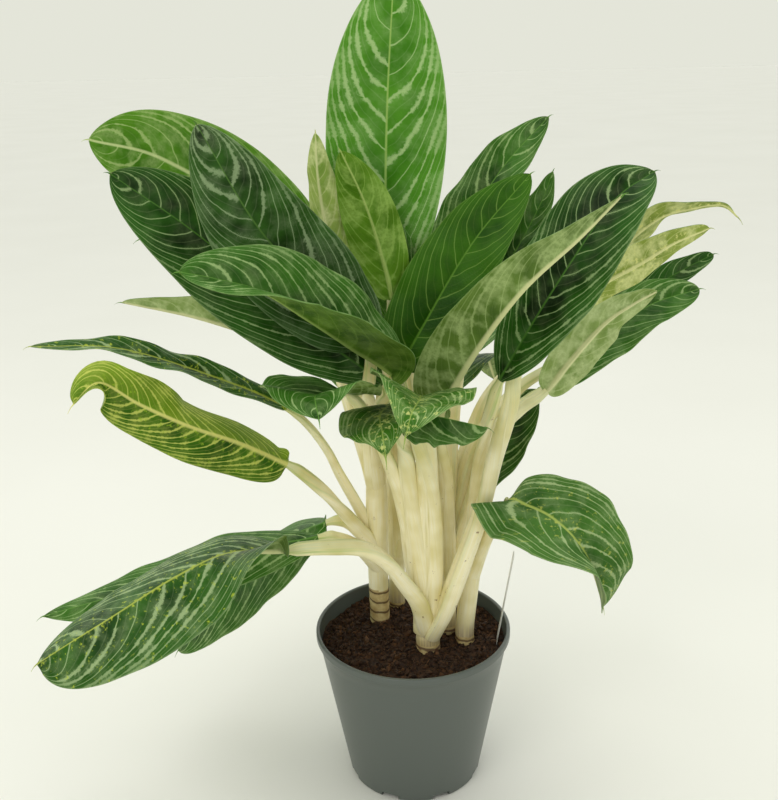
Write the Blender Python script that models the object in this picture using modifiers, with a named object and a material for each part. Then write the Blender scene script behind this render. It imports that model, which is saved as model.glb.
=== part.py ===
"""Potted Chinese evergreen in a plain nursery pot, modelled at its real size.

World frame: X to the viewer's right, Y away from the viewer, Z up, in metres. The origin is
the centre of the pot's underside. Driving dimensions and hand-placed points are given in
millimetres and turned into metres by MM.
"""
import math
from dataclasses import dataclass

import bmesh
import bpy
from mathutils import Matrix, Vector

MM = 0.001
FIT_GAP = 0.3

# Pot, a 24 cm injection-moulded nursery container
POT_HEIGHT = 200.0
RIM_RADIUS = 120.0
BASE_RADIUS = 82.5
WALL = 1.8
FLOOR = 2.4
LIP_HEIGHT = 9.0
LIP_OVERHANG = 3.0
LIP_ROUND = 2.2
FOOT_ROUND = 3.0
POT_STEPS = 40
DRAIN_SLOTS = 8
DRAIN_WIDTH = 22.0
DRAIN_HEIGHT = 7.0
DRAIN_DEPTH = 16.0

# Potting mix
SOIL_TOP = 182.0
SOIL_CROWN = 4.0
SOIL_EDGE = 5.0

# Plant label, a bare strip pushed into the mix beside the rim
LABEL_LENGTH = 165.0
LABEL_WIDTH = 17.0
LABEL_THICKNESS = 0.8
LABEL_POINT = 14.0
LABEL_BURIED = 42.0
LABEL_PLACE = (103.0, -12.0)
LABEL_LEAN = math.radians(9.0)
LABEL_TURN = math.radians(84.0)

# Foliage
BLADE_THICKNESS = 0.8
RIB_THICKNESS = 3.2
BLADE_STEPS = 12
BLADE_COLUMNS = (0.0, 0.5, 1.0)
PETIOLE_RADIUS_FOOT = 10.0
PETIOLE_RADIUS_TOP = 5.6
PETIOLE_END = 3.0
PETIOLE_TAPER = 1.6
LOBE_FADE = 3
BLADE_COLLAR = 4.6
COLLAR_THICKNESS = 4.5
COLLAR_LENGTH = 3.0
PETIOLE_STEPS = 6
TUBE_SIDES_RESOLUTION = 2
PATH_STEPS = 12


@dataclass(frozen=True)
class Shoot:
    """One cane with the sheathing leaf stalks that grow from it."""

    name: str
    path: tuple
    radii: tuple


@dataclass(frozen=True)
class Leaf:
    """A leaf: its stalk and midrib as points, and the attitude of its blade.

    faces are directions out of the upper face, from the blade's base to its tip. folds are
    the degrees by which the left and right halves rise from flat, evenly spaced from base to
    tip, curls how much more they rise by the edge, wave the edge's rise and fall in
    millimetres with its count, and lobes how far in millimetres the halves reach back behind
    the blade's base.
    """

    name: str
    shoot: str
    stalk: tuple
    rib: tuple
    half_width: float
    faces: tuple
    folds: tuple = ((14.0, 14.0),)
    curls: tuple = (-10.0, -10.0)
    wave: tuple = (3.0, 3.0)
    lobes: tuple = (4.0, 4.0)
    widest: float = 0.42
    power: float = 0.62
    girth: float = 1.0


SHOOTS = (
    Shoot("shoot_left", ((-42, 38, 150), (-42, 38, 185), (-42, 38, 205), (-43, 37, 280),
                         (-42, 33, 350), (-41, 28, 425)), (12.5, 12.5, 12.5, 14.0, 13.0, 5.0)),
    Shoot("shoot_front", ((18, -25, 150), (18, -25, 180), (18, -25, 192), (17, -22, 222)),
          (15.0, 15.0, 14.5, 6.0)),
    Shoot("shoot_middle", ((42, 14, 150), (42, 14, 185), (42, 14, 205), (44, 10, 300)),
          (12.0, 12.0, 12.0, 5.0)),
    Shoot("shoot_right", ((64, -9, 150), (64, -9, 185), (64, -9, 205), (71, -10, 275),
                          (77, -13, 330)), (11.5, 11.5, 11.5, 11.5, 5.0)),
    Shoot("shoot_rear", ((-20, 74, 150), (-20, 74, 185), (-20, 74, 205), (-19, 72, 300)),
          (10.5, 10.5, 10.5, 5.0)),
)

LEAVES = (
    # Low leaves on the left
    Leaf("leaf_left_low_front", "shoot_front",
         ((17, -24, 200), (8, -38, 250), (-10, -52, 288), (-29, -72, 326), (-55, -94, 354),
          (-88, -110, 364), (-114, -121, 369)),
         ((-136, -129, 371), (-192, -156, 383), (-242, -190, 374), (-301, -218, 346),
          (-347, -230, 321), (-378, -232, 301)),
         66, ((-0.1, -0.65, 0.7), (-0.4, -0.8, 0.5)),
         ((115.0, -42.0), (60.0, -42.0), (0.0, -42.0), (0.0, -42.0), (0.0, -42.0), (0.0, -42.0)),
         widest=0.5, power=0.4, girth=1.2),
    Leaf("leaf_left_low_middle", "shoot_left",
         ((-43, 34, 262), (-66, 22, 296), (-90, 8, 316)),
         ((-113, 0, 321), (-215, -30, 317), (-329, -60, 286), (-427, -80, 265)),
         46, ((0.1, -0.4, 0.9), (-0.1, -0.5, 0.85)), ((0.0, -18.0),), power=0.8),
    Leaf("leaf_left_low_back", "shoot_left",
         ((-43, 40, 268), (-62, 46, 300), (-82, 44, 320)),
         ((-106, 42, 320), (-153, 46, 299), (-213, 52, 243), (-269, 54, 182), (-309, 50, 134)),
         58, ((0.1, -0.6, 0.8), (-0.6, -0.6, 0.5)), ((14.0, -45.0), (14.0, -36.0)), power=0.55),
    Leaf("leaf_left_arched", "shoot_left",
         ((-44, 34, 288), (-66, 18, 326), (-95, -6, 376), (-120, -26, 412)),
         ((-140, -40, 434), (-186, -70, 472), (-233, -98, 503), (-278, -120, 536),
          (-311, -138, 566), (-334, -154, 550)),
         38, ((0.2, -0.9, 0.4), (-0.3, -0.9, 0.5), (-0.6, -0.8, 0.4)),
         ((5.0, -50.0), (5.0, -50.0), (10.0, -50.0), (35.0, -10.0), (50.0, 40.0)), widest=0.36,
         power=0.45),
    Leaf("leaf_left_slender", "shoot_left",
         ((-44, 37, 296), (-66, 30, 350), (-84, 22, 392), (-98, 8, 432), (-118, -8, 470)),
         ((-140, -20, 494), (-190, -30, 525), (-304, -60, 578), (-393, -90, 592)),
         22, ((0.2, -0.3, 0.9), (-0.1, -0.2, 0.95)), girth=0.8),
    Leaf("leaf_left_underside", "shoot_left",
         ((-43, 33, 340), (-46, 30, 420), (-54, 26, 470)),
         ((-66, 20, 513), (-134, 0, 558), (-224, -20, 599), (-307, -40, 625)),
         27, ((0.3, 0.3, 0.9), (-0.1, 0.2, 0.95)), ((70.0, 15.0),)),
    # Upper left group
    Leaf("leaf_upper_left_front", "shoot_front",
         ((15, -20, 205), (5, -20, 270), (-4, -18, 350), (-6, -20, 430), (-9, -26, 485)),
         ((-17, -36, 535), (-61, -80, 583), (-104, -112, 624), (-141, -142, 658),
          (-181, -168, 677), (-209, -188, 688)),
         60, ((0.2, -0.8, 0.55), (-0.2, -0.8, 0.55)),
         ((103.0, 8.0), (103.0, 8.0), (103.0, 8.0), (95.0, 8.0), (60.0, 5.0), (30.0, 5.0)),
         widest=0.38, girth=1.2),
    Leaf("leaf_upper_left_dark", "shoot_left",
         ((-42, 30, 350), (-38, 24, 430), (-34, 12, 480)),
         ((-31, 4, 513), (-109, -16, 584), (-213, -38, 690), (-299, -60, 763)),
         58, ((0.3, -0.9, 0.5), (-0.3, -0.8, 0.6)), lobes=(0.0, 0.0), widest=0.54),
    Leaf("leaf_upper_left_tall", "shoot_left",
         ((-43, 22, 380), (-45, -4, 440), (-46, -20, 510)),
         ((-45, -26, 571), (-91, -46, 629), (-150, -76, 708), (-200, -98, 812)),
         56, ((0.3, -1.0, 0.3), (-0.2, -1.0, 0.4))),
    Leaf("leaf_upper_left_back", "shoot_left",
         ((-43, 36, 380), (-48, 48, 450), (-56, 58, 520)),
         ((-66, 62, 559), (-168, 76, 688), (-271, 64, 763), (-343, 28, 790)),
         64, ((0.3, -0.9, 0.5), (-0.2, -0.9, 0.3)), ((5.0, 5.0),), widest=0.58),
    Leaf("leaf_far_left_back", "shoot_left",
         ((-43, 38, 360), (-60, 62, 430), (-90, 84, 520)),
         ((-130, 95, 593), (-201, 112, 648), (-274, 122, 672), (-322, 116, 665)),
         40, ((0.2, -0.6, 0.8), (-0.4, -0.6, 0.7))),
    # Leaves that point at the viewer
    Leaf("leaf_front_left_lobed", "shoot_front",
         ((14, -20, 205), (4, -26, 300), (-14, -32, 400), (-45, -48, 490)),
         ((-69, -70, 529), (-88, -120, 542), (-91, -178, 562), (-85, -214, 552)),
         62, ((0.0, -0.3, 1.0), (0.0, -0.6, 0.8)), ((18.0, 14.0),), power=0.75, girth=1.2),
    Leaf("leaf_front_centre", "shoot_front",
         ((17, -24, 205), (18, -28, 300), (19, -38, 400), (17, -62, 480)),
         ((13, -80, 524), (9, -150, 545), (2, -200, 551), (-4, -216, 534)),
         58, ((0.0, -0.3, 1.0), (0.1, -0.7, 0.8)), ((20.0, 32.0),), power=1.0, girth=1.5),
    Leaf("leaf_front_flecked", "shoot_front",
         ((16, -22, 205), (8, -30, 300), (-2, -38, 400), (-7, -50, 470)),
         ((-16, -72, 514), (-30, -126, 524), (-27, -172, 520), (-24, -190, 502)),
         46, ((-0.2, -0.5, 0.9), (-0.2, -0.8, 0.5)), ((0.0, 0.0),), power=1.15, girth=1.35),
    Leaf("leaf_front_right_band", "shoot_front",
         ((19, -26, 205), (24, -32, 300), (22, -42, 400), (8, -66, 470)),
         ((0, -92, 500), (21, -120, 519), (49, -130, 517), (80, -120, 505)),
         30, ((0.0, -0.3, 0.95), (0.2, -0.3, 0.95)), ((-60.0, -50.0),), power=0.5, girth=1.25),
    # Centre and top
    Leaf("leaf_top", "shoot_rear",
         ((-20, 72, 250), (-21, 68, 330), (-23, 62, 430), (-23, 56, 520)),
         ((-23, 52, 578), (-24, 58, 692), (-19, 42, 819), (-9, 8, 948)),
         67, ((0.0, -1.0, 0.2), (0.0, -1.0, 0.3)), widest=0.55),
    Leaf("leaf_young_pale", "shoot_left",
         ((-42, 32, 380), (-44, 30, 460), (-60, 30, 550)),
         ((-73, 28, 616), (-87, 18, 686), (-94, 8, 744), (-94, -5, 794)),
         21, ((0.3, 0.9, 0.2), (0.3, 0.9, 0.2)), ((30.0, 30.0),), girth=0.8),
    Leaf("leaf_young_green", "shoot_left",
         ((-42, 32, 370), (-36, 34, 450), (-26, 30, 550)),
         ((-19, 20, 608), (-30, 16, 666), (-46, 6, 722), (-68, -6, 775)),
         33, ((-0.2, 1.0, 0.2), (-0.2, 1.0, 0.2)), ((20.0, 20.0),), girth=0.8),
    Leaf("leaf_young_dark", "shoot_middle",
         ((42, 14, 260), (28, 24, 350), (12, 36, 440), (0, 42, 530)),
         ((-7, 40, 602), (-11, 37, 637), (-17, 33, 672), (-22, 26, 705)),
         24, ((0.3, -1.0, 0.2), (0.2, -1.0, 0.2)), girth=0.8),
    Leaf("leaf_top_right_olive", "shoot_middle",
         ((42, 10, 260), (32, 8, 350), (14, 4, 440), (-2, 0, 490)),
         ((-8, 0, 531), (22, 8, 589), (75, 20, 674), (136, 32, 743)),
         48, ((0.0, -0.95, 0.2), (-0.4, -0.85, 0.3)), widest=0.37),
    Leaf("leaf_top_right_back", "shoot_rear",
         ((-19, 70, 260), (-6, 82, 360), (8, 88, 460), (22, 90, 540)),
         ((35, 92, 590), (63, 110, 658), (111, 122, 736), (166, 122, 797)),
         42, ((-0.5, -0.7, 0.5), (-0.5, -0.7, 0.5))),
    Leaf("leaf_top_right_narrow", "shoot_middle",
         ((43, 14, 270), (46, 32, 360), (52, 52, 450), (62, 68, 520)),
         ((74, 80, 567), (123, 100, 635), (158, 110, 698), (172, 115, 735)),
         26, ((-0.6, -0.7, 0.4), (-0.6, -0.7, 0.4))),
    # Right side
    Leaf("leaf_right_big", "shoot_right",
         ((76, -12, 305), (79, -18, 380), (82, -26, 440), (90, -38, 492)),
         ((100, -46, 532), (124, -64, 588), (167, -76, 667), (208, -76, 729), (249, -62, 755)),
         50, ((-0.4, -0.8, 0.5), (-0.4, -0.8, 0.5)), widest=0.55, girth=1.1),
    Leaf("leaf_right_crossing", "shoot_middle",
         ((43, 8, 270), (42, -2, 350), (40, -14, 410), (34, -30, 450)),
         ((32, -52, 488), (63, -94, 567), (110, -130, 648), (165, -138, 703), (205, -128, 741)),
         49, ((0.3, 0.9, 0.3), (0.3, 0.9, 0.3)), ((97.0, 6.0),), widest=0.28, power=1.0),
    Leaf("leaf_right_yellow", "shoot_front",
         ((22, -30, 205), (40, -40, 250), (64, -47, 325), (79, -50, 375), (94, -50, 440),
          (112, -38, 500)),
         ((123, -18, 548), (169, 0, 594), (214, 12, 622), (260, 24, 643), (299, 36, 663),
          (342, 54, 676)),
         27, ((0.4, 0.8, 0.5), (0.4, 0.8, 0.5)), power=0.5, girth=1.3),
    Leaf("leaf_far_right_pale", "shoot_middle",
         ((44, 16, 270), (58, 40, 370), (90, 76, 460), (138, 106, 510)),
         ((187, 124, 539), (250, 150, 619), (306, 160, 668), (350, 166, 681), (389, 167, 685),
          (409, 164, 670)),
         33, ((0.3, 0.6, 0.7), (0.2, 0.5, 0.8)), widest=0.4, power=1.3),
    Leaf("leaf_far_right_dark", "shoot_middle",
         ((44, 14, 280), (67, 38, 390), (95, 56, 445), (137, 76, 484)),
         ((187, 100, 508), (262, 128, 562), (326, 146, 600), (379, 154, 626)),
         22, ((-0.4, -0.7, 0.6), (-0.4, -0.7, 0.6)), power=0.4),
    Leaf("leaf_right_sage", "shoot_right",
         ((76, -12, 310), (89, 4, 404), (103, 10, 447), (130, 15, 476)),
         ((160, 20, 496), (185, 26, 527), (225, 36, 570), (258, 44, 591), (287, 50, 605)),
         28, ((0.4, 0.8, 0.5), (0.4, 0.8, 0.5)), lobes=(10.0, 10.0)),
    Leaf("leaf_right_veined", "shoot_middle",
         ((44, 12, 280), (72, 26, 369), (91, 38, 426), (124, 50, 460)),
         ((163, 60, 486), (228, 78, 535), (288, 92, 577), (349, 97, 596)),
         35, ((-0.4, -0.7, 0.6), (-0.4, -0.7, 0.6)), power=0.5, widest=0.5),
    Leaf("leaf_right_behind_stems", "shoot_middle",
         ((44, 20, 245), (42, 38, 290), (40, 58, 335)),
         ((46, 74, 359), (80, 84, 367), (119, 92, 410), (158, 96, 472)),
         40, ((-0.4, -0.7, 0.6), (-0.4, -0.7, 0.6)), lobes=(0.0, 0.0), girth=0.9),
    Leaf("leaf_right_low", "shoot_right",
         ((70, -10, 262), (82, -22, 310), (95, -42, 356)),
         ((110, -60, 393), (132, -76, 394), (154, -92, 388), (177, -104, 369), (197, -108, 336),
          (215, -94, 277)),
         62, ((0.1, -0.4, 0.9), (0.4, -0.5, 0.8), (0.7, -0.6, 0.3)),
         ((14.0, 42.0), (14.0, -8.0), (20.0, 5.0), (36.0, 45.0), (48.0, 38.0), (35.0, 25.0)),
         lobes=(4.0, 50.0), girth=0.9, widest=0.38),
    # Leaves behind the middle
    Leaf("leaf_rear_left", "shoot_rear",
         ((-20, 76, 250), (-46, 102, 340), (-74, 126, 430)),
         ((-100, 150, 500), (-140, 190, 546), (-190, 250, 560), (-226, 300, 536)),
         42, ((-0.2, 0.3, 0.9), (-0.3, 0.5, 0.8))),
    Leaf("leaf_rear_middle", "shoot_rear",
         ((-19, 76, 260), (-20, 104, 360), (-18, 130, 450)),
         ((-12, 150, 515), (-10, 205, 565), (-12, 270, 570), (-16, 330, 530)),
         46, ((0.0, 0.3, 0.9), (0.0, 0.6, 0.8))),
    Leaf("leaf_rear_right", "shoot_rear",
         ((-18, 74, 270), (8, 100, 350), (42, 126, 430)),
         ((72, 150, 496), (118, 196, 540), (164, 252, 540), (196, 300, 508)),
         42, ((0.2, 0.3, 0.9), (0.3, 0.5, 0.8))),
    Leaf("leaf_rear_low_left", "shoot_rear",
         ((-21, 78, 240), (-34, 110, 320), (-52, 140, 400)),
         ((-68, 164, 448), (-92, 210, 486), (-116, 262, 476), (-128, 306, 430)),
         40, ((-0.2, 0.3, 0.9), (-0.3, 0.7, 0.6))),
    Leaf("leaf_rear_low_right", "shoot_rear",
         ((-17, 78, 245), (4, 110, 320), (30, 140, 400)),
         ((50, 164, 446), (82, 208, 480), (108, 258, 466), (124, 300, 420)),
         40, ((0.2, 0.3, 0.9), (0.3, 0.7, 0.6))),
)

COLOURS = {
    "pot": (0.134, 0.165, 0.149),
    "soil": (0.030, 0.013, 0.009),
    "label": (0.62, 0.62, 0.58),
    "stalk": (0.71, 0.64, 0.35),
    "blade": (0.035, 0.125, 0.030),
}
ROUGHNESS = {"pot": 0.42, "soil": 0.95, "label": 0.4, "stalk": 0.45, "blade": 0.35}


def clear_scene():
    """Remove the objects of the open scene."""
    for old in list(bpy.data.objects):
        bpy.data.objects.remove(old, do_unlink=True)


def make_collection(name):
    """Return a new collection linked to the scene."""
    made = bpy.data.collections.new(name)
    bpy.context.scene.collection.children.link(made)
    return made


def make_material(kind):
    """Return the Principled material of one kind of surface."""
    made = bpy.data.materials.new(kind)
    made.use_nodes = True
    shader = made.node_tree.nodes["Principled BSDF"]
    shader.inputs["Base Color"].default_value = (*COLOURS[kind], 1.0)
    shader.inputs["Roughness"].default_value = ROUGHNESS[kind]
    shader.inputs["Metallic"].default_value = 0.0
    return made


def metres(point):
    """Turn a point in millimetres into a vector in metres."""
    return Vector(point) * MM


def add_object(name, data, collection):
    """Link a new object holding the data."""
    made = bpy.data.objects.new(name, data)
    collection.objects.link(made)
    return made


def finish(piece, material):
    """Give a piece its own copy of the material and smooth shading with sharp creases."""
    own = material.copy()
    own.name = piece.name + "_" + material.name
    piece.data.materials.clear()
    piece.data.materials.append(own)
    piece.data.shade_smooth()
    piece.data.set_sharp_from_angle(angle=math.radians(40.0))


def bake(piece):
    """Replace a piece's mesh by its evaluated one, so that its modifiers are applied."""
    graph = bpy.context.evaluated_depsgraph_get()
    mesh = bpy.data.meshes.new_from_object(piece.evaluated_get(graph))
    piece.modifiers.clear()
    piece.data = mesh


def add_boolean(piece, operation, cutters):
    """Combine a piece with every object of a collection and apply the result."""
    step = piece.modifiers.new("combine", "BOOLEAN")
    step.operation = operation
    step.operand_type = "COLLECTION"
    step.collection = cutters
    step.solver = "EXACT"
    bake(piece)
    for used in list(cutters.objects):
        bpy.data.objects.remove(used, do_unlink=True)


def smooth_path(points, steps):
    """Return points along a Catmull-Rom curve through the given points."""
    ends = [points[0] * 2 - points[1]] + list(points) + [points[-1] * 2 - points[-2]]
    path = []
    for before, start, stop, after in zip(ends, ends[1:], ends[2:], ends[3:]):
        for step in range(steps):
            t = step / steps
            path.append(0.5 * (2 * start + (stop - before) * t
                               + (2 * before - 5 * start + 4 * stop - after) * t ** 2
                               + (3 * start - before - 3 * stop + after) * t ** 3))
    return path + [points[-1]]


def along(path, count):
    """Return count + 1 points spaced evenly along a path."""
    lengths = [0.0]
    for start, stop in zip(path, path[1:]):
        lengths.append(lengths[-1] + (stop - start).length)
    spaced = []
    index = 0
    for step in range(count + 1):
        target = lengths[-1] * step / count
        while index < len(path) - 2 and lengths[index + 1] < target:
            index += 1
        span = lengths[index + 1] - lengths[index]
        share = (target - lengths[index]) / span
        spaced.append(path[index].lerp(path[index + 1], share))
    return spaced


def blend(values, share):
    """Read a list of values as a line graph at a share of its length."""
    if len(values) == 1:
        return values[0]
    place = share * (len(values) - 1)
    index = min(int(place), len(values) - 2)
    return values[index] + (values[index + 1] - values[index]) * (place - index)


def tube(name, points, radii, collection):
    """Return a closed round tube along the points, in metres, with the given radii."""
    curve = bpy.data.curves.new(name, "CURVE")
    curve.dimensions = "3D"
    curve.bevel_depth = 1.0
    curve.bevel_resolution = TUBE_SIDES_RESOLUTION
    curve.use_fill_caps = True
    line = curve.splines.new("POLY")
    line.points.add(len(points) - 1)
    for spot, point, radius in zip(line.points, points, radii):
        spot.co = (*point, 1.0)
        spot.radius = radius * MM
    source = add_object(name + "_curve", curve, collection)
    graph = bpy.context.evaluated_depsgraph_get()
    mesh = bpy.data.meshes.new_from_object(source.evaluated_get(graph))
    bpy.data.objects.remove(source, do_unlink=True)
    shape = bmesh.new()
    shape.from_mesh(mesh)
    bmesh.ops.remove_doubles(shape, verts=shape.verts, dist=0.00001)
    bmesh.ops.recalc_face_normals(shape, faces=shape.faces)
    shape.to_mesh(mesh)
    shape.free()
    return add_object(name, mesh, collection)


def split_leaf(leaf):
    """Return a leaf's stalk path and midrib path, one smooth curve cut at the blade's base."""
    points = [metres(point) for point in leaf.stalk + leaf.rib]
    whole = smooth_path(points, PATH_STEPS)
    cut = len(leaf.stalk) * PATH_STEPS
    return whole[:cut + 1], whole[cut:]


def outline_width(leaf, share):
    """Return the half width of a blade at a share of its length, in millimetres."""
    place = share ** (math.log(0.5) / math.log(leaf.widest))
    return leaf.half_width * (4.0 * place * (1.0 - place)) ** leaf.power


def blade_frame(leaf, rib, index):
    """Return the blade's directions ahead, across and up at a point of its midrib."""
    ahead = (rib[min(index + 1, len(rib) - 1)] - rib[max(index - 1, 0)]).normalized()
    facing = blend([Vector(face) for face in leaf.faces], index / (len(rib) - 1))
    across = ahead.cross(facing).normalized()
    return ahead, across, across.cross(ahead).normalized()


def blade_point(leaf, rib, place, side, column):
    """Return a point of the blade's upper face, in metres.

    place is the share along the midrib, side -1 for the left half and 1 for the right, and
    column the share from the midrib to the edge.
    """
    index = int(round(place * (len(rib) - 1)))
    ahead, across, upward = blade_frame(leaf, rib, index)
    half = 0 if side < 0 else 1
    fold = math.radians(blend([Vector(pair) for pair in leaf.folds], place)[half])
    curl = math.radians(leaf.curls[half])
    angle = fold + curl * column / 2
    width = outline_width(leaf, place) * column
    edge = math.pi * 2 * leaf.wave[1] * place + half * 1.7
    ripple = leaf.wave[0] * column ** 2 * math.sin(edge) * math.sin(math.pi * place)
    offset = across * side * width * math.cos(angle) + upward * (width * math.sin(angle) + ripple)
    offset -= ahead * leaf.lobes[half] * column * (1.0 - place) ** LOBE_FADE
    return rib[index] + offset * MM


def collar_row(leaf, path, sides, reach):
    """Return the points of a blade's narrow foot, square to its stalk, at a reach ahead."""
    ahead, across, upward = blade_frame(leaf, path, 0)
    foot = path[0] + (upward * COLLAR_THICKNESS / 2 + ahead * reach) * MM
    return [foot + across * BLADE_COLLAR * side * column * MM for side, column in sides]


def blade(leaf, collection):
    """Return a blade: a waved sheet with body, thickened along its midrib."""
    path = split_leaf(leaf)[1]
    rib = along(path, BLADE_STEPS)
    sides = [(-1, c) for c in reversed(BLADE_COLUMNS[1:])] + [(1, c) for c in BLADE_COLUMNS]
    grid = [collar_row(leaf, path, sides, reach) for reach in (0.0, COLLAR_LENGTH)]
    for step in range(1, BLADE_STEPS):
        place = step / BLADE_STEPS
        grid.append([blade_point(leaf, rib, place, side, column) for side, column in sides])
    shape = bmesh.new()
    weights = shape.verts.layers.deform.verify()
    rows = [[shape.verts.new(point) for point in row] for row in grid]
    stop = shape.verts.new(rib[-1])
    middle = len(BLADE_COLUMNS) - 1
    for low, high in zip(rows, rows[1:]):
        for spot in range(len(sides) - 1):
            add_pair(shape, low, high, spot, spot < middle)
    for spot in range(len(sides) - 1):
        shape.faces.new((stop, rows[-1][spot], rows[-1][spot + 1]))
    thin = BLADE_THICKNESS / COLLAR_THICKNESS
    stout = RIB_THICKNESS / COLLAR_THICKNESS
    for vertex in shape.verts:
        vertex[weights][0] = thin
    for number, row in enumerate(rows[2:]):
        row[middle][weights][0] = stout - (stout - thin) * number / BLADE_STEPS
    for vertex in rows[0] + rows[1]:
        vertex[weights][0] = 1.0
    mesh = bpy.data.meshes.new(leaf.name)
    shape.to_mesh(mesh)
    shape.free()
    piece = add_object(leaf.name, mesh, collection)
    piece.vertex_groups.new(name="body")
    shell = piece.modifiers.new("thickness", "SOLIDIFY")
    shell.thickness = COLLAR_THICKNESS * MM
    shell.offset = -1.0
    shell.vertex_group = "body"
    bake(piece)
    return piece


def add_pair(shape, low, high, spot, leftward):
    """Add the two triangles of one cell, whose diagonal runs out and up from the midrib."""
    near, far = low[spot], low[spot + 1]
    upper_near, upper_far = high[spot], high[spot + 1]
    if leftward:
        shape.faces.new((near, far, upper_near))
        shape.faces.new((far, upper_far, upper_near))
    else:
        shape.faces.new((near, far, upper_far))
        shape.faces.new((near, upper_far, upper_near))


def petiole(leaf, collection):
    """Return a leaf's stalk, which stops a fitting gap short of the blade."""
    path, rib = split_leaf(leaf)
    points = along(path, PETIOLE_STEPS)[:-1]
    ending = (rib[0] - rib[1]).normalized()
    points.append(rib[0] + ending * PETIOLE_END * MM)
    points.append(rib[0] + ending * FIT_GAP * MM)
    foot = PETIOLE_RADIUS_FOOT * leaf.girth
    top = PETIOLE_RADIUS_TOP * leaf.girth
    radii = [foot + (top - foot) * (step / PETIOLE_STEPS) ** PETIOLE_TAPER
             for step in range(PETIOLE_STEPS)]
    radii += [top, top]
    return tube(leaf.name + "_stalk", points, radii, collection)


def shoot(item, collection, workshop):
    """Return a cane fused with the stalks of its leaves."""
    points = smooth_path([metres(point) for point in item.path], 3)
    count = len(points) - 1
    radii = [blend(item.radii, step / count) for step in range(count + 1)]
    piece = tube(item.name, points, radii, collection)
    for leaf in LEAVES:
        if leaf.shoot == item.name:
            petiole(leaf, workshop)
    add_boolean(piece, "UNION", workshop)
    return piece


def turned(name, profile, steps, collection):
    """Return a solid turned from a profile of (radius, height) points in millimetres."""
    mesh = bpy.data.meshes.new(name)
    shape = bmesh.new()
    spots = [shape.verts.new((radius * MM, 0.0, height * MM)) for radius, height in profile]
    for start, stop in zip(spots, spots[1:]):
        shape.edges.new((start, stop))
    shape.to_mesh(mesh)
    shape.free()
    piece = add_object(name, mesh, collection)
    turn = piece.modifiers.new("turn", "SCREW")
    turn.steps = steps
    turn.render_steps = steps
    turn.use_merge_vertices = True
    turn.merge_threshold = 0.00001
    bake(piece)
    return piece


def outer_radius(height):
    """Return the radius of the pot's tapered outside at a height, in millimetres."""
    under_lip = RIM_RADIUS - LIP_OVERHANG
    share = height / (POT_HEIGHT - LIP_HEIGHT)
    return BASE_RADIUS + (under_lip - BASE_RADIUS) * share


def pot_profile():
    """Return the pot's section from the middle of its floor over the rim to its underside."""
    lip_base = POT_HEIGHT - LIP_HEIGHT
    inside_top = RIM_RADIUS - LIP_OVERHANG - WALL
    return [
        (0.0, FLOOR),
        (outer_radius(FLOOR) - WALL - FOOT_ROUND, FLOOR),
        (outer_radius(FLOOR + FOOT_ROUND) - WALL, FLOOR + FOOT_ROUND),
        (outer_radius(lip_base) - WALL, lip_base),
        (inside_top + 1.0, POT_HEIGHT - LIP_ROUND),
        (inside_top + LIP_ROUND, POT_HEIGHT),
        (RIM_RADIUS - LIP_ROUND, POT_HEIGHT),
        (RIM_RADIUS, POT_HEIGHT - LIP_ROUND),
        (RIM_RADIUS, lip_base + 1.0),
        (RIM_RADIUS - 1.0, lip_base),
        (outer_radius(lip_base), lip_base),
        (outer_radius(FOOT_ROUND), FOOT_ROUND),
        (BASE_RADIUS - FOOT_ROUND, 0.0),
        (0.0, 0.0),
    ]


def box(name, size, place, turn, collection):
    """Return a box of a size in millimetres, centred at a place and turned about Z."""
    bpy.ops.mesh.primitive_cube_add(size=1.0, location=metres(place), rotation=(0.0, 0.0, turn))
    piece = bpy.context.active_object
    piece.name = name
    piece.scale = metres(size)
    for home in list(piece.users_collection):
        home.objects.unlink(piece)
    collection.objects.link(piece)
    return piece


def make_pot(collection, workshop):
    """Return the pot with its drain slots cut through the foot."""
    piece = turned("nursery_pot", pot_profile(), POT_STEPS, collection)
    reach = BASE_RADIUS - DRAIN_DEPTH / 4
    for number in range(DRAIN_SLOTS):
        turn = 2 * math.pi * (number + 0.5) / DRAIN_SLOTS
        place = (reach * math.cos(turn), reach * math.sin(turn), DRAIN_HEIGHT / 2 - 1.0)
        box("drain", (DRAIN_DEPTH, DRAIN_WIDTH, DRAIN_HEIGHT + 2.0), place, turn, workshop)
    add_boolean(piece, "DIFFERENCE", workshop)
    return piece


def soil_profile():
    """Return the potting mix's section: a low crown, a worn edge and the pot's inside."""
    wall = WALL + FIT_GAP
    low = FLOOR + FIT_GAP
    return [
        (0.0, SOIL_TOP + SOIL_CROWN),
        (45.0, SOIL_TOP + SOIL_CROWN * 0.8),
        (85.0, SOIL_TOP + SOIL_CROWN * 0.2),
        (outer_radius(SOIL_TOP - SOIL_EDGE) - wall - SOIL_EDGE, SOIL_TOP),
        (outer_radius(SOIL_TOP - SOIL_EDGE) - wall, SOIL_TOP - SOIL_EDGE),
        (outer_radius(low + FOOT_ROUND) - wall, low + FOOT_ROUND),
        (outer_radius(low) - wall - FOOT_ROUND, low),
        (0.0, low),
    ]


def cylinder(name, radius, low, high, place, collection):
    """Return an upright cylinder between two heights, in millimetres."""
    bpy.ops.mesh.primitive_cylinder_add(
        vertices=16, radius=radius * MM, depth=(high - low) * MM,
        location=metres((place[0], place[1], (low + high) / 2)))
    piece = bpy.context.active_object
    piece.name = name
    for home in list(piece.users_collection):
        home.objects.unlink(piece)
    collection.objects.link(piece)
    return piece


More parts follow.
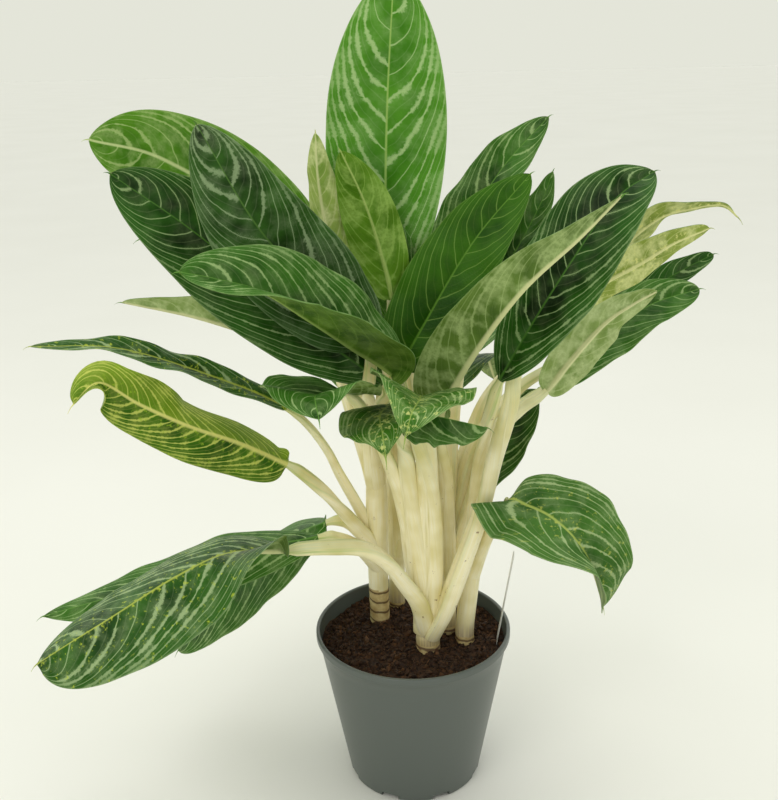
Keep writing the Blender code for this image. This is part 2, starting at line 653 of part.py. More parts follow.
def label_outline(grow):
    """Return the label's outline as (across, along) points, grown by a margin."""
    half = LABEL_WIDTH / 2 + grow
    top = LABEL_LENGTH - LABEL_BURIED + grow
    low = -LABEL_BURIED - grow
    corner = 4.0
    return [(0.0, low), (half, low + LABEL_POINT), (half, top - corner), (half - corner, top),
            (corner - half, top), (-half, top - corner), (-half, low + LABEL_POINT)]


def strip(name, outline, thickness, collection):
    """Return a flat strip cut to an outline, leaning where the label stands."""
    curve = bpy.data.curves.new(name, "CURVE")
    curve.dimensions = "2D"
    curve.fill_mode = "BOTH"
    curve.extrude = thickness / 2 * MM
    line = curve.splines.new("POLY")
    line.points.add(len(outline) - 1)
    line.use_cyclic_u = True
    for spot, (across, up) in zip(line.points, outline):
        spot.co = (across * MM, up * MM, 0.0, 1.0)
    source = add_object(name + "_curve", curve, collection)
    graph = bpy.context.evaluated_depsgraph_get()
    mesh = bpy.data.meshes.new_from_object(source.evaluated_get(graph))
    bpy.data.objects.remove(source, do_unlink=True)
    shape = bmesh.new()
    shape.from_mesh(mesh)
    bmesh.ops.remove_doubles(shape, verts=shape.verts, dist=0.00001)
    bmesh.ops.recalc_face_normals(shape, faces=shape.faces)
    shape.to_mesh(mesh)
    shape.free()
    piece = add_object(name, mesh, collection)
    upright = Matrix.Rotation(math.pi / 2, 4, "X")
    turned_about = Matrix.Rotation(LABEL_TURN, 4, "Z")
    leaned = Matrix.Rotation(LABEL_LEAN, 4, "Y")
    piece.rotation_euler = (leaned @ turned_about @ upright).to_euler()
    piece.location = metres((*LABEL_PLACE, SOIL_TOP))
    return piece


def make_soil(collection, workshop):
    """Return the potting mix with a plain hole for each cane and for the label."""
    piece = turned("potting_mix", soil_profile(), POT_STEPS, collection)
    for item in SHOOTS:
        foot = item.path[0]
        cylinder("hole", item.radii[0] + FIT_GAP * 2, foot[2] - FIT_GAP, SOIL_TOP + 20.0, foot,
                 workshop)
    strip("slit", label_outline(FIT_GAP), LABEL_THICKNESS + 2 * FIT_GAP, workshop)
    add_boolean(piece, "DIFFERENCE", workshop)
    return piece


def main():
    """Build every piece."""
    clear_scene()
    parts = make_collection("potted_chinese_evergreen")
    workshop = make_collection("cutters")
    materials = {kind: make_material(kind) for kind in COLOURS}
    finish(make_pot(parts, workshop), materials["pot"])
    finish(make_soil(parts, workshop), materials["soil"])
    finish(strip("plant_label", label_outline(0.0), LABEL_THICKNESS, parts), materials["label"])
    for item in SHOOTS:
        finish(shoot(item, parts, workshop), materials["stalk"])
    for leaf in LEAVES:
        finish(blade(leaf, parts), materials["blade"])


if __name__ == "__main__":
    main()
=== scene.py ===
"""Looks of a potted Chinese evergreen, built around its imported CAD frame.

Frame: X to the viewer's right, Y away from the viewer, Z up, with the origin at the centre
of the pot's underside. The tables hold millimetres and meshes are built in metres. The leaf
and shoot tables repeat those of the part's source, so each finer piece keeps its form.
"""
import logging
import math
from collections.abc import Callable
from dataclasses import dataclass
from enum import Enum
from functools import lru_cache, partial
from itertools import combinations, product

import bpy
import numpy as np
from mathutils import Matrix, Vector, noise


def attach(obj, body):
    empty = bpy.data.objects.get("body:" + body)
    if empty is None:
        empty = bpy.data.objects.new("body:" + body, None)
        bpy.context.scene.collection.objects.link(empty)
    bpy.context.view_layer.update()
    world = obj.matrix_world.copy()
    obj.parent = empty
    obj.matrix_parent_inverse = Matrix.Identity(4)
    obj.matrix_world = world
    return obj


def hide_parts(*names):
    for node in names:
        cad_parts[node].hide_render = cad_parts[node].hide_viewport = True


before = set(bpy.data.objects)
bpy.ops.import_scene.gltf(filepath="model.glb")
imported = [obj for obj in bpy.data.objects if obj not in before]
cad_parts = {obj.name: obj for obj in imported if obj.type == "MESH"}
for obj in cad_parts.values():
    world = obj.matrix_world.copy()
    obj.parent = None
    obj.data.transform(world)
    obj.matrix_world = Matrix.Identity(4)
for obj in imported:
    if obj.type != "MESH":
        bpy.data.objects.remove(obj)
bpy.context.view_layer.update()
MM = 0.001
BODY = "root"
SEED = 7
CREASE = math.radians(50.0)
# Millimetres: leaf scars stand this far apart on a cane, a blade is this wide where it joins
# its stalk, and soil stains fade out between these two heights
RING_MM = 13.0
COLLAR_HALF_WIDTH = 4.6
STAINED_TO = (182.0, 222.0)
LOG = logging.getLogger("evergreen")

Point = tuple[float, float, float]
Points = tuple[Point, ...]
Pair = tuple[float, float]
Socket = bpy.types.NodeSocket
Draw = Callable[..., Socket]
Values = dict[str, np.ndarray | float]


class Slot(Enum):
    """The record's material slots, one for each kind of new piece."""

    POT = "pot_plastic"
    SOIL = "potting_mix"
    STALK = "leaf_stalks"
    BLADE = "leaf_blades"
    YOUNG = "young_leaf_blades"


def linear(colour: str) -> tuple[float, float, float, float]:
    """Turn an sRGB hex colour into linear light.

    Args:
        colour: The colour as "#rrggbb".

    Returns:
        Red, green, blue and a full alpha.
    """
    shares = [int(colour[i:i + 2], 16) / 255 for i in (1, 3, 5)]
    low, slope, offset, power = 0.04045, 12.92, 0.055, 2.4
    return (*[s / slope if s <= low else ((s + offset) / (1 + offset)) ** power
              for s in shares], 1.0)


def add_node(tree: bpy.types.NodeTree, kind: str, inputs: dict | tuple = (),
             output: int | str = 0, **settings: object) -> Socket:
    """Add a shader node with its settings and links.

    Args:
        tree: The node tree that gets it.
        kind: The node's type without its ShaderNode prefix.
        inputs: Values, hex colours or sockets for its inputs, in order or by index or name.
        output: The output to return.
        settings: Properties of the node itself.

    Returns:
        The chosen output socket.
    """
    made = tree.nodes.new("ShaderNode" + kind)
    for name, value in settings.items():
        setattr(made, name, value)
    given = inputs.items() if isinstance(inputs, dict) else enumerate(inputs)
    for key, value in given:
        if isinstance(value, Socket):
            tree.links.new(value, made.inputs[key])
        else:
            made.inputs[key].default_value = linear(value) if isinstance(value, str) else value
    return made.outputs[output]


@dataclass(frozen=True)
class Pattern:
    """What a finish draws: colours laid over a ground in turn, its wear and its height.

    Each layer is the share to which it hides what lies under it, and its colour. marks are
    the values of the wear between which the finish goes from its smoothest to its roughest.
    """

    ground: str
    layers: tuple[tuple[Socket, str], ...]
    wear: Socket
    height: Socket
    marks: Pair = (0.0, 1.0)


@dataclass(frozen=True)
class Finish:
    """A surface: its roughness, index of refraction, depth of relief and strength of shine.

    stray is how far the roughness strays, down and up.
    """

    name: str
    roughness: float
    ior: float
    relief_mm: float
    shine: float = 0.5
    stray: Pair = (-0.08, 0.08)

    def material(self) -> bpy.types.Material:
        """Make the finish's material, with its even values on the shader itself."""
        made = bpy.data.materials.new(self.name)
        made.use_nodes = True
        node = partial(add_node, made.node_tree)
        shader = made.node_tree.nodes["Principled BSDF"].inputs
        for label, value in (("IOR", self.ior), ("Roughness", self.roughness),
                             ("Specular IOR Level", self.shine)):
            shader[label].default_value = value
        drawn = self.pattern(node)
        colour = drawn.ground
        for share, layer in drawn.layers:
            colour = node("Mix", {0: share, 6: colour, 7: layer}, 2, data_type="RGBA")
        rough = node("MapRange", (drawn.wear, *drawn.marks,
                                  *(self.roughness + by for by in self.stray)))
        relief = node("Bump", {"Distance": self.relief_mm * MM, "Height": drawn.height})
        for label, socket in (("Base Color", colour), ("Roughness", rough),
                              ("Normal", relief)):
            made.node_tree.links.new(socket, shader[label])
        return made

    def pattern(self, node: Draw) -> Pattern:
        """Draw the finish's colours, wear and height.

        Args:
            node: add_node for the material's node tree.

        Returns:
            What is drawn.
        """
        raise NotImplementedError


@dataclass(frozen=True)
class WaxyLeafSkin(Finish):
    """Living leaf skin, which grows under a thin wax: a soft gloss over feathered pale veins.

    Colours are sRGB hex values. Widths are in millimetres on the leaf: line_mm is half the
    width of each side vein's pale line, band_mm half that of the silver bands that some of
    them carry, midrib_mm half that of the midrib, and pitch_mm the distance from one side
    vein to the next along the midrib. banded is the share of veins with a band, strength how
    pale the veins are, wash how far the pale colour spreads between them, flecks how much of
    the blade is spattered, gilt how much of its right half is flooded with the fleck's
    colour, and margin how pale its edge is. stagger is how far the right half's veins are
    ahead of the left half's, as a share of the distance from one to the next. noises are
    the scale, detail and roughness of the broad, patchy, fine and speckled variation.
    """

    roughness: float = 0.42
    ior: float = 1.42
    relief_mm: float = 0.2
    shine: float = 0.14
    stray: Pair = (-0.05, 0.08)
    ground: str = "#39641F"
    deep: str = "#22450E"
    stripe: str = "#A6C080"
    midrib: str = "#5F8A3A"
    fleck: str = "#C6CE62"
    line_mm: float = 0.55
    band_mm: float = 2.0
    banded: float = 0.5
    midrib_mm: float = 1.2
    pitch_mm: float = 25.0
    strength: float = 0.8
    wash: float = 0.14
    flecks: float = 0.0
    gilt: float = 0.0
    margin: float = 0.25
    stagger: float = 0.43
    noises: Points = ((0.022, 2.0, 0.5), (0.055, 3.0, 0.5), (0.3, 4.0, 0.6), (0.19, 4.0, 0.62))

    def pattern(self, node: Draw) -> Pattern:
        """Draw the veins, bands, midrib, margin and flecks from the values on the mesh."""
        flat = node("Attribute", output="Vector", attribute_name="flat")
        vein, gap, across, along = (node("Attribute", output="Fac", attribute_name=name)
                                    for name in ("vein", "gap", "across", "along"))
        split = node("SeparateXYZ", (flat,)).node.outputs
        side, rib = (node("Math", (value,), operation="ABSOLUTE")
                     for value in (across, split["X"]))
        right = node("Math", (split["X"], 0.0), operation="GREATER_THAN")
        broad, patchy, fine, specks = (
            node("TexNoise", {"Vector": flat, "Scale": scale, "Detail": detail,
                              "Roughness": uneven})
            for scale, detail, uneven in self.noises)
        # Where the point lies between two side veins, and which of them is nearer
        ahead = node("Math", (right, self.stagger, vein), operation="MULTIPLY_ADD")
        drift = node("MapRange", (broad, 0.0, 1.0, -0.4, 0.4))
        place = node("Math", (ahead, drift), operation="ADD")
        number = node("Math", (place,), operation="ROUND")
        leaf = node("CombineXYZ", (split["Z"], right))
        chance = node("TexWhiteNoise", {"W": number, "Vector": leaf}, noise_dimensions="4D")
        share = node("Math", (place, 0.5), operation="PINGPONG")
        away = node("Math", (share, gap), operation="MULTIPLY")
        # The veins' pale lines, with a fainter one halfway and silver bands on some
        line = node("MapRange", (away, self.line_mm * 0.4, self.line_mm * 1.6, 0.72, 0.0),
                    interpolation_type="SMOOTHSTEP")
        half = node("Math", (0.5, share), operation="SUBTRACT")
        half = node("Math", (half, gap), operation="MULTIPLY")
        minor = node("MapRange", (half, 0.1, 0.8, 0.13, 0.0))
        chosen = node("MapRange", (chance, 1.0 - self.banded, 1.12 - self.banded))
        worn = node("MapRange", (patchy, 0.36, 0.6, 0.3, 1.35))
        reach = node("Math", (chosen, worn), operation="MULTIPLY")
        ragged = node("MapRange", (fine, 0.3, 0.7, 0.35 * self.band_mm, 1.5 * self.band_mm))
        reach = node("Math", (reach, ragged, 0.02), operation="MULTIPLY_ADD")
        inside = node("Math", (away, reach), operation="DIVIDE")
        band = node("MapRange", (inside, 0.35, 1.25, 0.82, 0.0),
                    interpolation_type="SMOOTHSTEP")
        fade = node("MapRange", (side, 0.75, 1.0, self.strength, self.strength * 0.45))
        lines = node("Math", (line, minor), operation="MAXIMUM")
        lines = node("Math", (lines, band), operation="MAXIMUM")
        lines = node("Math", (lines, fade), operation="MULTIPLY")
        # Pale clouds between the veins, darker green out of them, and the gilt half
        cloud = node("MapRange", (patchy, 0.42, 0.64, 0.0, self.wash * 2.0))
        cloud = node("Math", (cloud, fine), operation="MULTIPLY")
        dark = node("MapRange", (broad, 0.36, 0.64, 0.0, 0.75))
        dark = node("Math", (share, 0.5, dark), operation="MULTIPLY_ADD")
        green = node("MapRange", (side, 0.3, 0.95, 1.15, 0.35))
        dark = node("Math", (dark, green), operation="MULTIPLY", use_clamp=True)
        flood = node("MapRange", (broad, 0.3, 0.55, self.gilt * 0.4, self.gilt))
        flood = node("Math", (flood, right), operation="MULTIPLY")
        # Flecks, which crowd at the midrib and the blade's base
        near = node("MapRange", (rib, 1.0, 16.0, 1.1, 0.3))
        base = node("MapRange", (along, 0.0, 0.7, 1.0, 0.75))
        likely = node("Math", (near, base), operation="MULTIPLY")
        likely = node("Math", (likely, patchy), operation="MULTIPLY")
        spots = node("Math", (likely, 0.4 * min(self.flecks, 1.0), specks),
                     operation="MULTIPLY_ADD")
        spots = node("MapRange", (spots, 0.62, 0.72, 0.0, min(0.9, self.flecks * 1.8)))
        # The margin and the midrib, which narrows towards the tip
        edge = node("MapRange", (side, 0.965, 0.995, 0.0, self.margin))
        taper = node("MapRange", (along, 0.0, 1.0, self.midrib_mm * 1.3,
                                  self.midrib_mm * 0.4))
        middle = node("Math", (rib, taper), operation="DIVIDE")
        middle = node("MapRange", (middle, 0.3, 1.5, 0.85, 0.0),
                      interpolation_type="SMOOTHSTEP")
        cells = node("TexVoronoi", {"Vector": flat, "Scale": 0.42})
        height = node("Math", (line, -0.8, cells), operation="MULTIPLY_ADD")
        return Pattern(self.ground, (
            (dark, self.deep), (flood, self.fleck), (cloud, self.stripe),
            (lines, self.stripe), (spots, self.fleck), (edge, self.stripe),
            (middle, self.midrib)), fine, height, (0.3, 0.7))


@dataclass(frozen=True)
class SappyStalkSkin(Finish):
    """Fleshy blanched leaf stalk, grown in sheaths: wet-looking cream with long fibres.

    The edges of its channel are green, scars are brown, and its foot is stained by the mix.
    """

    name: str = "sappy_stalk_skin"
    roughness: float = 0.42
    ior: float = 1.42
    relief_mm: float = 0.25
    stray: Pair = (-0.06, 0.1)
    cream: str = "#F1E7B6"
    ivory: str = "#F6F0D2"
    straw: str = "#D3C67C"
    green: str = "#9DB35C"
    brown: str = "#8A6A45"
    fibre_mm: float = 1.8
    fibre_run_mm: float = 45.0
    spot_mm: float = 5.0

    def pattern(self, node: Draw) -> Pattern:
        """Draw long fibres, green channel edges, brown scars and a stained foot."""
        flat = node("Attribute", output="Vector", attribute_name="flat")
        along, lips, foot = (node("Attribute", output="Fac", attribute_name=name)
                             for name in ("along", "lips", "stain"))
        run = (1 / self.fibre_mm, 1 / self.fibre_run_mm, 1.0)
        stretched = node("VectorMath", (flat, run), operation="MULTIPLY")
        fibres = node("TexNoise", {"Vector": stretched, "Scale": 1.0, "Detail": 3.0})
        soft = node("TexNoise", {"Vector": flat, "Scale": 0.022, "Detail": 2.0})
        spots = node("TexNoise", {"Vector": flat, "Scale": 0.5 / self.spot_mm, "Detail": 4.0,
                                  "Roughness": 0.7})
        light = node("MapRange", (fibres, 0.35, 0.68))
        tone = node("MapRange", (soft, 0.42, 0.72, 0.0, 0.75))
        top = node("MapRange", (along, 0.62, 1.05, 0.0, 0.55))
        high = node("Math", (lips, 0.6, top), operation="MULTIPLY_ADD")
        streak = node("MapRange", (fibres, 0.3, 0.62, 0.35, 1.0))
        greens = node("Math", (high, streak), operation="MULTIPLY", use_clamp=True)
        scars = node("MapRange", (spots, 0.67, 0.73, 0.0, 0.85))
        stain = node("Math", (foot, streak), operation="MULTIPLY")
        return Pattern(self.cream, ((light, self.ivory), (tone, self.straw),
                                    (greens, self.green), (scars, self.brown),
                                    (stain, self.brown)), fibres, fibres)


@dataclass(frozen=True)
class RingedCaneBark(Finish):
    """Tan bark of a soft cane, ringed where old leaf sheaths tore off: dry and matt."""

    name: str = "ringed_cane_bark"
    roughness: float = 0.7
    ior: float = 1.45
    relief_mm: float = 0.6
    tan: str = "#B59A63"
    pale: str = "#D6C48C"
    dark: str = "#4F3420"

    def pattern(self, node: Draw) -> Pattern:
        """Draw dark ring scars on a blotched tan ground."""
        flat = node("Attribute", output="Vector", attribute_name="flat")
        up = node("SeparateXYZ", (flat,), "Y")
        blotch = node("TexNoise", {"Vector": flat, "Scale": 0.12, "Detail": 4.0})
        shift = node("MapRange", (blotch, 0.0, 1.0, -2.0, 2.0))
        place = node("Math", (up, shift), operation="ADD")
        ring = node("Math", (place, RING_MM / 2), operation="PINGPONG")
        scar = node("MapRange", (ring, 0.6, 1.9, 0.9, 0.0))
        tone = node("MapRange", (blotch, 0.35, 0.68))
        return Pattern(self.pale, ((tone, self.tan), (scar, self.dark)), blotch, blotch)


@dataclass(frozen=True)
class MouldedPolypropylene(Finish):
    """Injection-moulded polypropylene: an even satin grey-green, with faint flow marks.

    Handling leaves fine upright scuffs and a little dried dust low on the wall.
    """

    name: str = "moulded_polypropylene"
    roughness: float = 0.36
    ior: float = 1.49
    relief_mm: float = 0.04
    stray: Pair = (-0.04, 0.14)
    body: str = "#49524F"
    worn: str = "#5F6963"
    dust: str = "#74746A"
    scuff_mm: float = 1.2
    scuff_run_mm: float = 30.0
    dusty_to_mm: float = 45.0

    def pattern(self, node: Draw) -> Pattern:
        """Draw a satin ground with flow marks, scuffs and dust."""
        flat = node("Attribute", output="Vector", attribute_name="flat")
        up = node("SeparateXYZ", (flat,), "Y")
        run = (1 / self.scuff_mm, 1 / self.scuff_run_mm, 1.0)
        stretched = node("VectorMath", (flat, run), operation="MULTIPLY")
        scuffs = node("TexNoise", {"Vector": stretched, "Scale": 1.0, "Detail": 3.0})
        flow = node("TexNoise", {"Vector": flat, "Scale": 0.012, "Detail": 3.0})
        grain = node("TexNoise", {"Vector": flat, "Scale": 0.9, "Detail": 2.0})
        marks = node("MapRange", (scuffs, 0.62, 0.8, 0.0, 0.35))
        tone = node("MapRange", (flow, 0.35, 0.7, 0.0, 0.4))
        low = node("MapRange", (up, self.dusty_to_mm, 0.0, 0.0, 0.35))
        dusty = node("Math", (low, flow), operation="MULTIPLY")
        return Pattern(self.body, ((tone, self.worn), (marks, self.worn),
                                   (dusty, self.dust)), scuffs, grain, (0.4, 0.75))


@dataclass(frozen=True)
class DampPeat(Finish):
    """Screened peat and bark, damp: dark red-brown crumbs with pale fibres among them."""

    name: str = "damp_peat"
    roughness: float = 0.9
    ior: float = 1.4
    relief_mm: float = 0.8
    stray: Pair = (-0.15, 0.05)
    dark: str = "#150B05"
    brown: str = "#442B18"
    rust: str = "#63401F"
    grain_mm: float = 4.0

    def pattern(self, node: Draw) -> Pattern:
        """Draw blotched browns with rough pits."""
        flat = node("Attribute", output="Vector", attribute_name="flat")
        grains = node("TexNoise", {"Vector": flat, "Scale": 1 / self.grain_mm, "Detail": 5.0,
                                   "Roughness": 0.7})
        blotch = node("TexNoise", {"Vector": flat, "Scale": 0.1, "Detail": 3.0})
        tone = node("MapRange", (grains, 0.36, 0.68))
        rusty = node("MapRange", (blotch, 0.5, 0.75, 0.0, 0.7))
        return Pattern(self.dark, ((tone, self.brown), (rusty, self.rust)), grains, grains)


@dataclass(frozen=True)
class RolledPolystyreneStrip(Finish):
    """Thin white polystyrene sheet, rolled smooth and handled: milky, with fine scratches."""

    name: str = "rolled_polystyrene"
    roughness: float = 0.4
    ior: float = 1.55
    relief_mm: float = 0.03
    stray: Pair = (-0.08, 0.12)
    milk: str = "#CDCFCB"
    soiled: str = "#9C968A"
    scratch_mm: float = 0.8
    scratches_a_metre: float = 40.0
    soiled_to: float = 0.205

    def pattern(self, node: Draw) -> Pattern:
        """Draw a milky ground with fine scratches, soiled where it leaves the mix."""
        place = node("TexCoord", output="Object")
        up = node("SeparateXYZ", (place,), "Z")
        fine = 1 / self.scratch_mm / MM
        stretched = node("VectorMath", (place, (fine, fine, self.scratches_a_metre)),
                         operation="MULTIPLY")
        scratches = node("TexNoise", {"Vector": stretched, "Scale": 1.0, "Detail": 2.0})
        low = node("MapRange", (up, self.soiled_to, self.soiled_to - 0.02, 0.0, 0.8))
        dirt = node("Math", (low, scratches), operation="MULTIPLY")
        return Pattern(self.milk, ((dirt, self.soiled),), scratches, scratches)


@dataclass(frozen=True)
class PaintedFloor(Finish):
    """Floor under matt off-white paint, rolled on: almost even, with a faint stipple."""

    name: str = "matt_painted_floor"
    roughness: float = 0.75
    ior: float = 1.45
    relief_mm: float = 0.05
    stray: Pair = (-0.03, 0.03)
    paint: str = "#E9E9E2"
    shade: str = "#E2E2DA"

    def pattern(self, node: Draw) -> Pattern:
        """Draw broad faint clouds and a roller's stipple."""
        place = node("TexCoord", output="Object")
        clouds = node("TexNoise", {"Vector": place, "Scale": 1.6, "Detail": 3.0})
        stipple = node("TexNoise", {"Vector": place, "Scale": 500.0, "Detail": 2.0})
        return Pattern(self.paint, ((clouds, self.shade),), clouds, stipple)


class Tint(Enum):
    """The colourings that a leaf's two faces show."""

    DEEP = WaxyLeafSkin("waxy_leaf_deep", ground="#3D6F1E", deep="#1F440B")
    SILVER = WaxyLeafSkin(
        "waxy_leaf_silver", ground="#315A1C", deep="#0E2104", stripe="#9CB286",
        midrib="#4E7332", band_mm=3.2, banded=0.6, pitch_mm=27.0, wash=0.12, strength=0.72)
    INK = WaxyLeafSkin(
        "waxy_leaf_ink", 0.4, ground="#2B5A15", deep="#0C2003", stripe="#A6BF84",
        midrib="#46702A", banded=0.4, wash=0.06, strength=0.72)
    FLECKED = WaxyLeafSkin(
        "waxy_leaf_flecked", ground="#305E17", deep="#163908", stripe="#AEC48E",
        midrib="#A8B44C", fleck="#B2C23C", midrib_mm=1.6, pitch_mm=27.0, band_mm=2.8,
        banded=0.55, flecks=0.42, strength=0.75)
    SPATTERED = WaxyLeafSkin(
        "waxy_leaf_spattered", ground="#43761F", deep="#29540F", stripe="#B9CC8C",
        midrib="#9DB35A", fleck="#C8D07C", pitch_mm=20.0, flecks=0.62, wash=0.2)
    GILDED = WaxyLeafSkin(
        "waxy_leaf_gilded", ground="#42700F", deep="#1F4706", stripe="#CDD468",
        midrib="#DDDA80", fleck="#93B22E", midrib_mm=2.6, pitch_mm=15.0, banded=0.75,
        band_mm=1.5, flecks=0.4, gilt=0.5, strength=0.9)
    STRIPED = WaxyLeafSkin(
        "waxy_leaf_striped", ground="#47742A", deep="#2E5719", stripe="#B4C890",
        midrib="#A8B85C", fleck="#C6CC5C", midrib_mm=1.6, band_mm=2.2, banded=0.65,
        flecks=0.3)
    BRIGHT = WaxyLeafSkin(
        "waxy_leaf_bright", 0.44, ground="#559327", deep="#3D7816", stripe="#BCD897",
        midrib="#9CBE64", midrib_mm=1.6, band_mm=3.0, banded=0.6, pitch_mm=32.0, wash=0.12)
    CREAM = WaxyLeafSkin(
        "waxy_leaf_cream", ground="#54881D", deep="#3B6C0C", stripe="#AAC27A",
        midrib="#C6D494", midrib_mm=3.2, band_mm=3.0, banded=0.35, pitch_mm=29.0, wash=0.3)
    OLIVE = WaxyLeafSkin(
        "waxy_leaf_olive", ground="#38690B", deep="#1D4602", stripe="#86A751",
        midrib="#5E8A2C", banded=0.0, pitch_mm=26.0, strength=0.65, wash=0.04)
    OLIVE_BACK = WaxyLeafSkin(
        "waxy_leaf_olive_back", 0.46, ground="#587F1C", deep="#355A0A", stripe="#86A64C",
        midrib="#9DB560", midrib_mm=2.2, strength=0.45, banded=0.3, wash=0.5)
    SAGE_BACK = WaxyLeafSkin(
        "waxy_leaf_sage_back", 0.5, ground="#5F7A33", deep="#3D571D", stripe="#A0B374",
        midrib="#CDCF98", midrib_mm=3.2, strength=0.6, band_mm=2.4, wash=0.6)
    PALE_BACK = WaxyLeafSkin(
        "waxy_leaf_pale_back", 0.5, ground="#8DA45B", deep="#6B8640", stripe="#BCCB90",
        midrib="#DADAA6", midrib_mm=3.0, strength=0.6, band_mm=2.6, wash=0.8)
    YELLOW_BACK = WaxyLeafSkin(
        "waxy_leaf_yellow_back", 0.5, ground="#8FA145", deep="#667D2C", stripe="#CAD08A",
        midrib="#DFDF9E", fleck="#D6D886", midrib_mm=2.8, strength=0.6, band_mm=2.6,
        wash=0.9, flecks=0.5)
    YOUNG_PALE = WaxyLeafSkin(
        "waxy_leaf_young_pale", 0.44, ground="#A6BA62", deep="#80A043", stripe="#D2DA9A",
        midrib="#D6DAA0", band_mm=2.4, pitch_mm=19.0, strength=0.6, wash=0.8)
    YOUNG_GREEN = WaxyLeafSkin(
        "waxy_leaf_young_green", 0.44, ground="#618D22", deep="#426C0E", stripe="#94B457",
        midrib="#A4BA68", pitch_mm=21.0, strength=0.6, wash=0.6)


def unit(rows: np.ndarray) -> np.ndarray:
    """Give each row a length of one."""
    return rows / np.linalg.norm(rows, axis=-1, keepdims=True)


def smooth_step(low: float, high: float, values: np.ndarray) -> np.ndarray:
    """Rise smoothly from 0 at low to 1 at high."""
    share = np.clip((values - low) / (high - low), 0.0, 1.0)
    return share * share * (3.0 - 2.0 * share)


def smooth_path(points: np.ndarray, steps: int) -> np.ndarray:
    """Run a Catmull-Rom curve through points.

    Args:
        points: The points, one a row.
        steps: How many pieces each stretch is cut into.

    Returns:
        The points along the curve.
    """
    ends = np.vstack((2 * points[0] - points[1], points, 2 * points[-1] - points[-2]))
    t = np.arange(steps)[:, None] / steps
    parts = [0.5 * (2 * start + (stop - before) * t
                    + (2 * before - 5 * start + 4 * stop - after) * t ** 2
                    + (3 * start - before - 3 * stop + after) * t ** 3)
             for before, start, stop, after in zip(ends, ends[1:], ends[2:], ends[3:])]
    return np.vstack(parts + [points[-1:]])


def path_length(path: np.ndarray) -> float:
    """Measure a path."""
    return float(np.linalg.norm(np.diff(path, axis=0), axis=1).sum())


def at_shares(path: np.ndarray, shares: np.ndarray) -> np.ndarray:
    """Read a path at shares of its length, held at its two ends."""
    steps = np.linalg.norm(np.diff(path, axis=0), axis=1)
    lengths = np.concatenate(([0.0], np.cumsum(steps)))
    return np.stack([np.interp(shares * lengths[-1], lengths, axis) for axis in path.T], axis=1)


def heading(path: np.ndarray, shares: np.ndarray, window: float) -> np.ndarray:
    """Read a path's direction at shares of its length, over a window to either side."""
    return unit(at_shares(path, np.minimum(shares + window, 1.0))
                - at_shares(path, np.maximum(shares - window, 0.0)))


def read_graph(values: Points | tuple[float, ...], shares: np.ndarray) -> np.ndarray:
    """Read evenly spaced values as a line graph at shares of its length."""
    rows = np.array(values, dtype=float)
    if rows.ndim == 1:
        rows = rows[:, None]
    marks = np.linspace(0.0, 1.0, len(rows))
    return np.stack([np.interp(shares, marks, column) for column in rows.T], axis=1)


def sway(points: np.ndarray, size_mm: float, seed: float) -> np.ndarray:
    """Read smooth noise, from about -1 to 1, at points in millimetres."""
    return np.array([noise.noise(Vector(point) / size_mm + Vector((seed, seed * 1.7, -seed)))
                     for point in points])


def ring_angles(corners: int) -> np.ndarray:
    """Return the angles of a ring's corners, in one row."""
    return np.linspace(-np.pi, np.pi, corners, endpoint=False)[None]


def set_about(spine: np.ndarray, across: np.ndarray, upward: np.ndarray, wide: np.ndarray,
              deep: np.ndarray) -> np.ndarray:
    """Set rows of points about a path.

    Args:
        spine: The path's points, one for each row.
        across: The direction across the path at each.
        upward: The direction upward at each.
        wide: How far across each point lies, as (row, column).
        deep: How far upward.

    Returns:
        The points as (row, column, axis).
    """
    return (spine[:, None] + across[:, None] * wide[..., None]
            + upward[:, None] * deep[..., None])


def laid_flat(around: np.ndarray, along: np.ndarray, own: float) -> np.ndarray:
    """Give a skin flat coordinates in millimetres, with a third that is the skin's own."""
    return np.stack(np.broadcast_arrays(around, along, own), axis=-1)


def stain(spine: np.ndarray) -> np.ndarray:
    """Return how much soil stains a stalk or cane at each point of its path."""
    return 0.9 * (1.0 - smooth_step(*STAINED_TO, spine[:, 2][:, None]))


def placed(name: str, data: bpy.types.ID) -> bpy.types.Object:
    """Put a new object with some data into the scene."""
    made = bpy.data.objects.new(name, data)
    bpy.context.scene.collection.objects.link(made)
    return made


